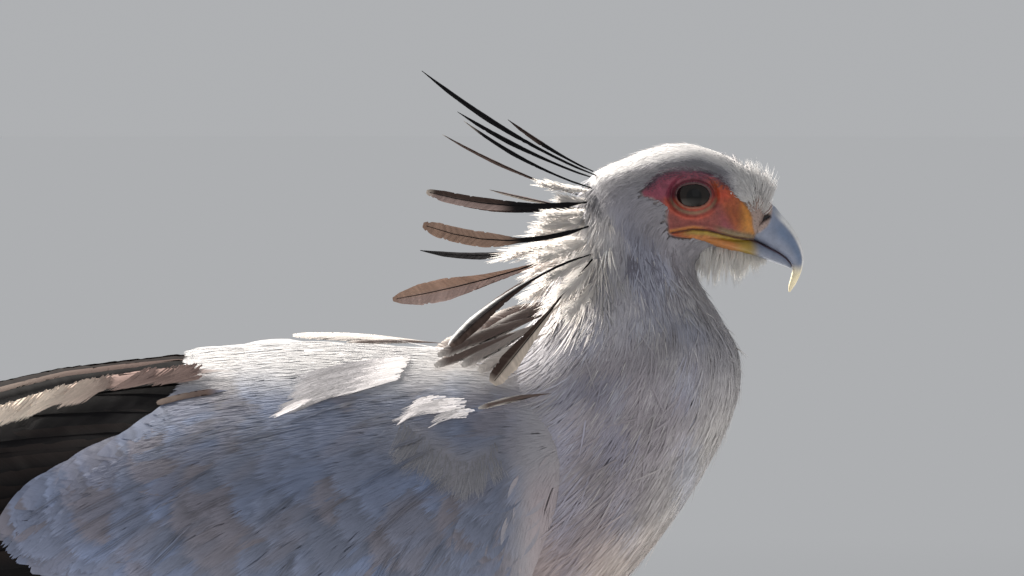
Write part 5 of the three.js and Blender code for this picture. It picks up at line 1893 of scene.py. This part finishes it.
def make_bristles(material):
    """Brushed-up forehead bristles, and stray wisps on the neck and breast."""
    pile = Pile(82, body, 0, BODY_END)
    dice = pile.dice
    n = 900
    t = 18.4 + 2.45 * dice.random(n) ** 0.7
    a = dice.uniform(-1.5, 1.5, n)
    p, along, _, normal = form_frame(body, t, a)
    size = np.interp(t, [18.4, 19.3, 20.2, 20.85], [4, 7, 13, 11]) * dice.uniform(0.4, 1.1, n)
    up = np.array([0.0, 0.0, 1.0])
    rise = np.interp(t, [18.4, 19.5, 20.85], [0.05, 0.25, 0.7])[:, None]
    ahead = unit(along)
    way = unit(normal * rise * 1.1 - ahead * np.interp(t, [18.4, 20.85], [1.0, 0.15])[:, None] + up * rise)
    tip = p + way * size[:, None] + dice.normal(0, 0.8, (n, 3))
    bend = -ahead * -0.12 * size[:, None] + normal * 0.1 * size[:, None]
    tint = mix(GREY_DOWN, PALE_DOWN * 1.3, smooth(18.3, 19.6, t))
    wisps(pile, p - normal, tip, bend, width=0.42, tint=tint, flat=outward(p[:, 1]), place=pile.place(t, a),
          lit=0.5, root_shade_ramp=(0.7, 1.15))
    n = 160
    t = dice.uniform(5.5, 12.5, n)
    a = dice.uniform(0, 2 * math.pi, n)
    p, along, _, normal = form_frame(body, t, a)
    size = np.interp(t, [5.5, 12.5], [18, 9]) * dice.uniform(0.5, 1.1, n)
    way = unit(normal * dice.uniform(0.12, 0.42, n)[:, None] - unit(along))
    wisps(pile, p - normal * 2, p + way * size[:, None], normal * 0.05 * size[:, None], width=0.6,
          tint=PALE_DOWN, flat=outward(p[:, 1]), place=pile.place(t, a), lit=0.2)
    pile.build("bristles", material, "grey_feather")


def make_lashes(material):
    pile = Pile(83)
    dice = pile.dice
    n = 15
    share = np.linspace(0.12, 0.92, n) + dice.normal(0, 0.015, n)
    angle = math.pi * share
    x = LID_MIDDLE[0] + (LID_HALF[0] + 0.3) * np.cos(angle)
    z = LID_MIDDLE[1] + (LID_HALF[1] + 0.2) * np.sin(angle)
    near = np.hypot(x - EYE[0], z - EYE[2])
    y = EYE[1] + np.sqrt(BALL_RADIUS ** 2 - near ** 2) + LID_THICK
    for sign in (-1, 1):
        root = np.stack([x, sign * y, z], -1)
        size = dice.uniform(1.8, 3.6, n)[:, None]
        way = unit(np.stack([0.5 * np.cos(angle), np.full(n, sign * 0.9), 0.5 + 0.2 * np.sin(angle)], -1))
        tip = root + way * size
        wisps(pile, root, tip, np.array([0, 0, -0.6]), width=0.22, tint=SOOT, flat=np.array([0, 0.3, 1.0]))
    pile.build("lashes", material, "grey_feather")


TAIL_ROOT = np.array([-286.0, 0.0, 772.0])
TAIL_DROOP = math.radians(14)
TAIL_LENGTH = 640
LONG_LENGTH = 636.0
LONG_ROLL = math.radians(14)
LONG_RISE = 6.4
# The fan of side feathers sinks by this much at this distance from the middle
FAN_DROP = 34
FAN_HALF = 66
# Side feathers of the tail: length, and how far out their outer edge lies at the root and per length
RECTRICES = np.array([
    (470, 25, 0.026), (435, 29, 0.04), (395, 33, 0.055), (350, 36, 0.074), (300, 39, 0.094),
])
TAIL_GREY = rgb(0.30, 0.30, 0.32)


def tail_colour(x, y, owner):
    """Grey, with a black band before a white end."""
    c = mix(TAIL_GREY, TAIL_GREY * 1.5, 0.5 * smooth(0.0, 0.9, np.abs(y)))
    c = mix(c, SOOT, bell((x - 0.28) / 0.05, 1) * 0.6 + bell((x - 0.5) / 0.03, 1) * 0.35)
    c = mix(c, SOOT, smooth(0.66, 0.74, x + 0.015 * np.abs(y)))
    return mix(c, PALE_DOWN * 1.15, smooth(0.9, 0.925, x - 0.015 * np.abs(y)))


def fan_paths(sign):
    """Lengths and paths of the side feathers of one half of the tail, which sink towards its edge."""
    u = np.linspace(0, 1, 11)[:, None]
    length = RECTRICES[:, 0] - 3
    run = u * length
    y = (RECTRICES[:, 1] + RECTRICES[:, 2] * run - 17) * (0.35 + 0.65 * smooth(0, 0.25, u))
    sag = run * (1 - run / TAIL_LENGTH) * 0.04
    order = np.arange(len(RECTRICES))
    z = -run * math.sin(TAIL_DROOP) + sag - 3.0 - FAN_DROP * (y / FAN_HALF) ** 2 - 1.1 * order
    centres = TAIL_ROOT + np.stack([-run * math.cos(TAIL_DROOP), sign * y, z], -1)
    ahead = headings(centres)
    tilt = -sign * 2 * FAN_DROP * y / FAN_HALF ** 2
    flat = np.stack([0 * tilt, np.ones(tilt.shape), tilt], -1)
    sides = unit(flat - ahead * (flat * ahead).sum(-1, keepdims=True))
    return length, (centres, -sides, np.cross(ahead, -sides))


def make_tail(material):
    dice = np.random.default_rng(91)
    quill = {"colour": tail_colour, "outline": long_outline, "fray": 0.05, "camber": 0.04, "rough": 0.02}
    slope = np.array([-math.cos(TAIL_DROOP), 0, -math.sin(TAIL_DROOP)])
    for side, sign, _ in STANCE:
        pile = Pile(dice)
        root = TAIL_ROOT + np.array([[0.0, sign * 14.0, 2.5]])
        tip = root + LONG_LENGTH * slope + np.array([0.0, sign * 8.0, 0.0])
        roll = np.array([sign * LONG_ROLL])
        paths = free_paths(root, tip, LONG_RISE, roll, 12)
        blades(pile, paths, None, length=LONG_LENGTH, width=39.0, rows=160, columns=9, slant=0.05, shaft=2.2,
               **quill)
        pile.build("tail_long_" + side, material, "tail_feather", "tail_centre_" + side)
        pile = Pile(dice)
        length, paths = fan_paths(sign)
        blades(pile, paths, None, length=length, width=35.0, rows=110, columns=7, slant=0.08, shaft=1.8,
               strip=(0, 5), **quill)
        pile.build("tail_fan_" + side, material, "tail_feather", "tail_" + side)


def make_shin_coat(material, side, foot_x, mirror):
    form = shin_form(foot_x)
    pile = Pile(101 + mirror, form, 0, form.end)

    def length(t):
        above = np.interp(t, np.arange(len(SHIN)), SHIN[:, 0]) - 341
        return np.minimum(np.interp(t, [0, 2, 6], [15, 26, 40]), np.maximum(above, 5))

    def tint(t, a, p):
        return SOOT * pile.dice.uniform(0.8, 1.5, (len(t), 1))

    lay_feathers(pile, 111 + mirror, (0.1, form.end - 0.05), along([0, 2, 6], [3.6, 5.2, 7.5]),
                 lambda t, a, p: p[..., 2] < 700, length=length, width=0.5,
                 depth=along([0, 1, 6], [1.5, 4, 7]), lift=1.2, rows=9, yaw=0.12, tint=tint, dark=0.75,
                 fray=0.5)
    pile.build("coat_shin_" + side, material, "black_feather", mirror=mirror)


def solid_mesh(name, points, tint, tile, material):
    """A closed form from rings of points with a cap at both ends. The tile is its place on the map."""
    rings, sides = points.shape[:2]
    quads = grid_quads(rings, sides, wrap=True)[:, ::-1]
    faces = quads.tolist()
    faces.append(list(range(sides)))
    faces.append([(rings - 1) * sides + k for k in reversed(range(sides))])
    mesh = bpy.data.meshes.new(name)
    mesh.from_pydata(to_frame(points.reshape(-1, 3)).tolist(), [], faces)
    paint(mesh, tint.reshape(-1, 3))
    u0, u1, v0, v1 = tile
    corners = corner_points(mesh)
    ring, side = np.divmod(corners, sides)
    count = len(quads) * 4
    side = side.astype(float)
    last_side = np.zeros(len(corners), bool)
    last_side[:count] = np.repeat((quads.max(1) % sides == sides - 1) & (quads.min(1) % sides == 0), 4)
    side[last_side & (side == 0)] = sides
    uv = np.stack([u0 + (u1 - u0) * ring / (rings - 1), v0 + (v1 - v0) * side / sides], -1)
    add_map(mesh, uv)
    mesh.shade_smooth()
    return add_piece(name, mesh, material)


def read_points(mesh):
    places = np.empty(3 * len(mesh.vertices), np.float32)
    tints = np.empty(4 * len(mesh.vertices), np.float32)
    mesh.vertices.foreach_get("co", places)
    mesh.attributes["tint"].data.foreach_get("color", tints)
    return places.reshape(-1, 3), tints.reshape(-1, 4)


# Points that a boolean makes come out white
UNPAINTED = 0.95


def united(first, others):
    """The first closed form with all the others joined to it by booleans."""
    sources = [read_points(piece.data) for piece in (first, *others)]
    places, tints = (np.concatenate(part) for part in zip(*sources))
    for other in others:
        union = first.modifiers.new("union", "BOOLEAN")
        union.operation = "UNION"
        union.solver = "MANIFOLD"
        union.object = other
    bpy.context.view_layer.update()
    graph = bpy.context.evaluated_depsgraph_get()
    mesh = bpy.data.meshes.new_from_object(first.evaluated_get(graph), depsgraph=graph)
    first.modifiers.clear()
    first.data = mesh
    for other in others:
        bpy.data.objects.remove(other)
    tree = tree_of(places)
    points, colours = read_points(mesh)
    for i in np.flatnonzero(colours[:, :3].min(1) > UNPAINTED):
        colours[i] = tints[tree.find(points[i].tolist())[1]]
    mesh.attributes["tint"].data.foreach_set("color", colours.ravel())
    return first


def trunk_skin(material):
    def step(t):
        return np.interp(t, [0, 9, 12.5, 14.3, 20.6, 21], [0.5, 0.4, 0.12, 0.034, 0.034, 0.06])

    t = spaced(0.0, BODY_END, 1.0, step)
    fine = np.linspace(0.28 * math.pi, 0.84 * math.pi, 84)
    top = np.linspace(0, fine[0], 12)[:-1]
    low = np.linspace(fine[-1], math.pi, 9)[1:]
    half = np.concatenate([top, fine, low])
    angle = np.concatenate([half, 2 * math.pi - half[-2:0:-1]])
    T, A = grid_of(t, angle)
    p, _, _, normal = form_frame(body, T, A)
    p = p - normal * (coat_depth(T) * (1 - bareness(p)))[..., None]
    return solid_mesh("skin", p, skin_colour(p), TRUNK_TILE, material)


def wing_core(name, sign, material, tile):
    """The flesh of the folded wing, under its coverts."""
    t = np.linspace(3.6, wing.end - 0.15, 44)
    s = np.linspace(0.02, 0.98, 16)
    T, S = grid_of(t, s)
    p, _, _, normal = form_frame(wing, T, S)
    outer = p - normal * 5.5
    deep = np.interp(p[..., 0], [-345, -265, -195, 40], [1.5, 3, 20, 20])
    deep = deep * (0.25 + 0.75 * np.sin(math.pi * S))
    inner = outer - normal * np.maximum(deep, 0.8)[..., None]
    ring = np.concatenate([outer, inner[:, ::-1]], 1)
    if sign < 0:
        ring = ring[:, ::-1] * (1, -1, 1)
    tint = mix(GREY_SKIN, SOOT, smooth(-180, -200, ring[..., 0]))
    return solid_mesh(name, ring, tint, tile, material)


def saw(x):
    """Overlapping plates: a slow rise and a sharp fall, once in each unit."""
    f = x - np.floor(x)
    return smooth(0, 0.7, f) * smooth(1.0, 0.8, f)


def shin_core(foot_x):
    """The flesh of the left shin, under its feathers."""
    form = shin_form(foot_x)
    T, A = grid_of(np.linspace(0, form.end - 0.35, 60), turns(32))
    p, _, _, normal = form_frame(form, T, A)
    p = p - normal * np.interp(T, [0, 1, 6], [1.0, 4, 7])[..., None]
    return p, np.broadcast_to(GREY_SKIN * 0.5, p.shape)


def shank_skin(foot_x):
    """The left shank, with plates down its front and beads on the rest."""
    form = shank_form(foot_x)
    rows = np.linspace(0, 1, 320)
    top = -SHANK[0, 0]
    t = np.interp(rows * (1 + top) - top, SHANK[:, 0], np.arange(len(SHANK)))[::-1]
    T, A = grid_of(t, turns(36))
    p, _, _, normal = form_frame(form, T, A)
    drop = (ANKLE_HEIGHT - p[..., 2]) / (ANKLE_HEIGHT - FOOT_TOP)
    front = smooth(0.35, 0.7, np.cos(A)) * smooth(0.04, 0.1, drop)
    plates = saw(p[..., 2] / SHANK_PLATE + 0.25 * np.sin(A))
    hex_rows = np.cos(2 * math.pi * p[..., 2] / SHANK_BEAD + math.pi * np.round(A * 6 / math.pi))
    beads = np.cos(12 * A) * 0.5 + hex_rows * 0.5
    lift = front * (0.55 * plates) + (1 - front) * 0.16 * beads
    knee = smooth(0.07, 0.02, np.abs(drop))
    lift = lift + knee * 0.35 * np.sin(p[..., 2] * 1.7)
    p = p + normal * lift[..., None]
    groove = front * smooth(0.25, 0.0, plates) + (1 - front) * smooth(-0.2, -0.8, beads)
    tint = mix(SHANK_PINK, SHANK_PINK * 0.45, 0.75 * groove)
    return p, mix(tint, SHANK_PINK * (0.8, 0.72, 0.8), knee)


def leg_skin(side, sign, foot_x, material, tiles):
    """The closed forms of one leg: shin, shank with its scutes, pad and toes."""
    pieces = [
        ("shin_core_" + side, *shin_core(foot_x), tiles[0]),
        ("shank_skin_" + side, *shank_skin(foot_x), tiles[1]),
        *foot_forms(side, foot_x, tiles[2]),
    ]
    made = []
    for name, p, tint, tile in pieces:
        if sign < 0:
            p, tint = p[:, ::-1] * (1, -1, 1), tint[:, ::-1]
        made.append(solid_mesh(name, p, tint, tile, material))
    return made


# Toes: heading outwards in degrees, length, height and length of the claw
TOES = {
    "middle": (2, 66, 15, 19),
    "outer": (33, 46, 14, 16),
    "inner": (-31, 42, 14, 21),
    "hind": (171, 24, 13, 21),
}
TOE_TIP_SHARE = 0.62
TOE_END = 1.06
TOE_SIDES = 28
CLAW_SIDES = 20
# Heights of the scales on the toes, the foot and the front and back of the shank
TOE_PLATE = 4.6
FOOT_PLATE = 6.5
SHANK_PLATE = 7.2
SHANK_BEAD = 3.6
CLAW_ARCH = 4.5


def level_way(heading):
    turn = math.radians(heading)
    return np.array([math.cos(turn), math.sin(turn), 0.0])


def tube(line, radius_up, radius_side, sides):
    """Rings round a line of centres, with their radii upwards and sideways."""
    ahead = headings(line)
    across = unit(np.cross(np.array([0.0, 0.0, 1.0]), ahead))
    up = np.cross(ahead, across)
    angle = turns(sides)
    c, s = np.cos(angle)[None, :, None], np.sin(angle)[None, :, None]
    return line[:, None] - across[:, None] * c * radius_side + up[:, None] * s * radius_up


def toe_form(foot_x, heading, length, height):
    """One toe of the left foot, with plates above and bulbs below."""
    s = np.linspace(-0.12, TOE_END, 76)
    root = np.array([foot_x, FOOT_Y, height * 0.52])
    line = root + level_way(heading) * (s * length)[:, None]
    line[:, 2] = height * (0.52 - 0.16 * s)
    S, A = grid_of(s, turns(TOE_SIDES))
    bulbs = np.cos(6 * math.pi * S)
    base = height / 2 * (1 + (TOE_TIP_SHARE - 1) * np.clip(S, 0, 1)) * (1 + 0.09 * bulbs)
    base = base * np.sqrt(np.clip((TOE_END - S) / 0.08, 0.03, 1))
    above, below = smooth(0.2, 0.7, np.sin(A)), smooth(-0.1, -0.7, np.sin(A))
    plates = saw(-S * length / TOE_PLATE + 0.15 * np.cos(A))
    lift = 0.5 * above * (plates - 0.4) + 0.5 * below * bulbs
    lift = lift + (1 - above) * 0.12 * np.cos(S * length * 3.1) * np.cos(9 * A)
    radius = (base + lift)[..., None]
    p = tube(line, radius, radius * 0.96, TOE_SIDES)
    p[..., 2] = np.where(p[..., 2] < 0.6, 0.6 * smooth(-3, 1.5, p[..., 2]), p[..., 2])
    groove = above * smooth(0.3, 0.0, plates)
    tint = mix(SHANK_PINK, SHANK_PINK * 0.45, 0.7 * groove)
    return p, mix(tint, SHANK_PINK * (0.9, 0.8, 0.7), below)


def pad_form(foot_x):
    """The middle of the left foot, from the shank's end down to the floor."""
    Z, A = grid_of(np.linspace(30, 0.5, 60), turns(44))
    radius = np.interp(Z, [0.5, 1.5, 4, 8, 14, 20, 25, 30], [13.0, 15.2, 14.8, 13.2, 11.2, 10, 9.2, 7.5])
    plates = saw(Z / FOOT_PLATE + 0.2 * np.sin(A)) * smooth(0.3, 0.7, np.cos(A))
    beads = np.cos(Z * 1.7) * np.cos(9 * A)
    radius = radius + 0.5 * plates + 0.18 * beads * smooth(0.7, 0.3, np.cos(A))
    x = foot_x - 2 * smooth(0, 25, Z) + radius * np.cos(A)
    p = np.stack([x, FOOT_Y + 0.86 * radius * np.sin(A), Z], -1)
    return p, mix(SHANK_PINK, SHANK_PINK * 0.6, 0.6 * smooth(0.1, -0.7, beads))


def foot_forms(side, foot_x, whole):
    """The closed forms of the left foot's toes and pad, each in a fifth of the foot's place on the map."""
    forms = [("toe_" + name, *toe_form(foot_x, *shape[:3])) for name, shape in TOES.items()]
    forms.append(("pad", *pad_form(foot_x)))
    u0, u1, v0, v1 = whole
    stops = np.linspace(v0, v1, len(forms) + 1)
    out = []
    for i, (name, p, tint) in enumerate(forms):
        out.append((name + "_" + side, p, tint, (u0, u1, stops[i], stops[i + 1])))
    return out


def make_claws(material):
    for side, sign, foot_x in STANCE:
        for name, (heading, length, height, claw) in TOES.items():
            ahead = level_way(heading)
            start = np.array([foot_x, FOOT_Y, 0.0]) + ahead * (length - 1.5)
            start[2] = height * 0.38
            arch = start + ahead * claw * 0.55
            arch[2] += CLAW_ARCH
            point = start + ahead * (claw + 1.5)
            point[2] = 1.3
            s = np.linspace(0, 1, 26)[:, None]
            line = bent(s, start, arch, point)
            radius = (height * 0.27 * (1 - s ** 1.2) + 0.7 * s ** 1.2)[..., None]
            p = tube(line, radius * 1.1, radius * 0.82, CLAW_SIDES)
            p[..., 2] = np.maximum(p[..., 2], 0.4)
            tint = mix(CLAW_BLACK, CLAW_WORN, np.broadcast_to(s ** 3 * 0.6, p.shape[:2]))
            if sign < 0:
                p, tint = p[:, ::-1] * (1, -1, 1), tint[:, ::-1]
            piece = solid_mesh("talon_%s_%s" % (side, name), p, tint, (0, 1, 0, 1), material)
            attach(piece, "root")
            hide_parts("claw_%s_%s" % (side, name))


# Places on the skin's map: from and to in U, from and to in V. Each leg has one for shin, shank and foot
TRUNK_TILE = (0.0, 0.55, 0.0, 1.0)
WING_TILES = {"left": (0.56, 0.76, 0.0, 0.24), "right": (0.56, 0.76, 0.25, 0.49)}
LEG_TILES = {
    "left": ((0.56, 0.76, 0.5, 0.6), (0.56, 0.76, 0.61, 0.99), (0.77, 0.88, 0.0, 0.99)),
    "right": ((0.56, 0.66, 0.5, 0.6), (0.89, 0.99, 0.0, 0.4), (0.89, 0.99, 0.41, 0.99)),
}


def make_one_skin(material):
    """Head, neck, trunk, wings and legs under the coat, as one closed skin."""
    skin = trunk_skin(material)
    others = [wing_core("wing_core_" + side, sign, material, WING_TILES[side]) for side, sign, _ in STANCE]
    nodes = ["head", "neck", "trunk"]
    for side, sign, foot_x in STANCE:
        others += leg_skin(side, sign, foot_x, material, LEG_TILES[side])
        nodes += ["wing_" + side, "shin_" + side, "shank_" + side, "foot_" + side]
    skin = united(skin, others)
    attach(skin, "root")
    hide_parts(*nodes)


def make_camera():
    data = bpy.data.cameras.new("camera")
    data.lens = LENS
    data.sensor_width = SENSOR
    distance = PHOTO_WIDTH / PIXELS_PER_MM * MM * LENS / SENSOR
    camera = bpy.data.objects.new("camera", data)
    aim = Vector(to_frame(AIM))
    camera.location = aim + distance * Vector((0, -math.cos(CAMERA_RISE), math.sin(CAMERA_RISE)))
    camera.rotation_euler = (math.pi / 2 - CAMERA_RISE, 0, 0)
    data.clip_end = 60
    bpy.context.collection.objects.link(camera)
    bpy.context.scene.camera = camera


def make_area_light(name, place, size, power, colour):
    data = bpy.data.lights.new(name, "AREA")
    data.size = size
    data.energy = power
    data.color = colour
    lamp = bpy.data.objects.new(name, data)
    aim = Vector(to_frame(AIM))
    lamp.location = aim + Vector(place)
    lamp.rotation_euler = (-Vector(place)).to_track_quat("-Z", "Y").to_euler()
    bpy.context.collection.objects.link(lamp)


def make_studio():
    """A warm light from behind, a weak one from the camera's side, even daylight and a plain floor."""
    make_area_light("key", (-2.4, 1.95, 1.95), 1.2, 620, (1.0, 0.95, 0.88))
    make_area_light("fill", (0.8, -3.2, 1.4), 3.0, 5, (0.90, 0.94, 1.0))
    world = bpy.data.worlds.new("studio")
    world.use_nodes = True
    world.node_tree.nodes["Background"].inputs["Color"].default_value = (0.95, 0.97, 1.0, 1)
    world.node_tree.nodes["Background"].inputs["Strength"].default_value = 0.45
    bpy.context.scene.world = world
    bpy.context.scene.view_settings.view_transform = "Standard"
    material, shader, node, link = add_nodes("studio_floor", **{"Roughness": 1.0, "Specular IOR Level": 0.0})
    # The floor is painted darker near the bird, where the lamps light it, and paler far off, where only
    # daylight reaches it
    reach = node("VectorMath", operation="LENGTH")
    shade = map_range(node, 2.5, 14.0, 0.6, 0.98)
    link(node("TexCoord"), "Object", reach, 0)
    link(reach, "Value", shade, "Value")
    link(shade, "Result", shader, "Base Color")
    bpy.ops.mesh.primitive_circle_add(vertices=96, radius=40, fill_type="NGON")
    floor = bpy.context.object
    floor.name = "floor"
    floor.data.materials.append(material)


make_camera()
make_studio()
SKIN = skin_material()
HORN = horn_material()
GLOSS = eye_material()
make_one_skin(SKIN)
make_claws(HORN)
make_eye("right", -1, GLOSS)
make_eye("left", 1, GLOSS)
make_upper_bill(HORN)
make_lower_bill(HORN)
DOWN = feather_material("down", **{"Roughness": 0.75, "Sheen Weight": 0.3})
DARK_VANE = feather_material("dark_vane", **{"Roughness": 0.7, "Specular IOR Level": 0.04})
make_undercoat(DOWN)
make_head_coat(DOWN)
make_neck_coat(DOWN)
make_breast_coat(DOWN)
make_trunk_coat(DOWN)
for side, mirror in (("left", False), ("right", True)):
    make_wing_coat(DOWN, side, mirror)
    make_wing_strands(DOWN, side, mirror)
    make_flight_feathers(DARK_VANE, side, mirror)
make_crest(DARK_VANE)
make_ruff(DOWN)
make_beard(DOWN)
make_bristles(DOWN)
make_lashes(DARK_VANE)
make_tail(DARK_VANE)
for side, sign, foot_x in STANCE:
    make_shin_coat(DARK_VANE, side, foot_x, sign < 0)
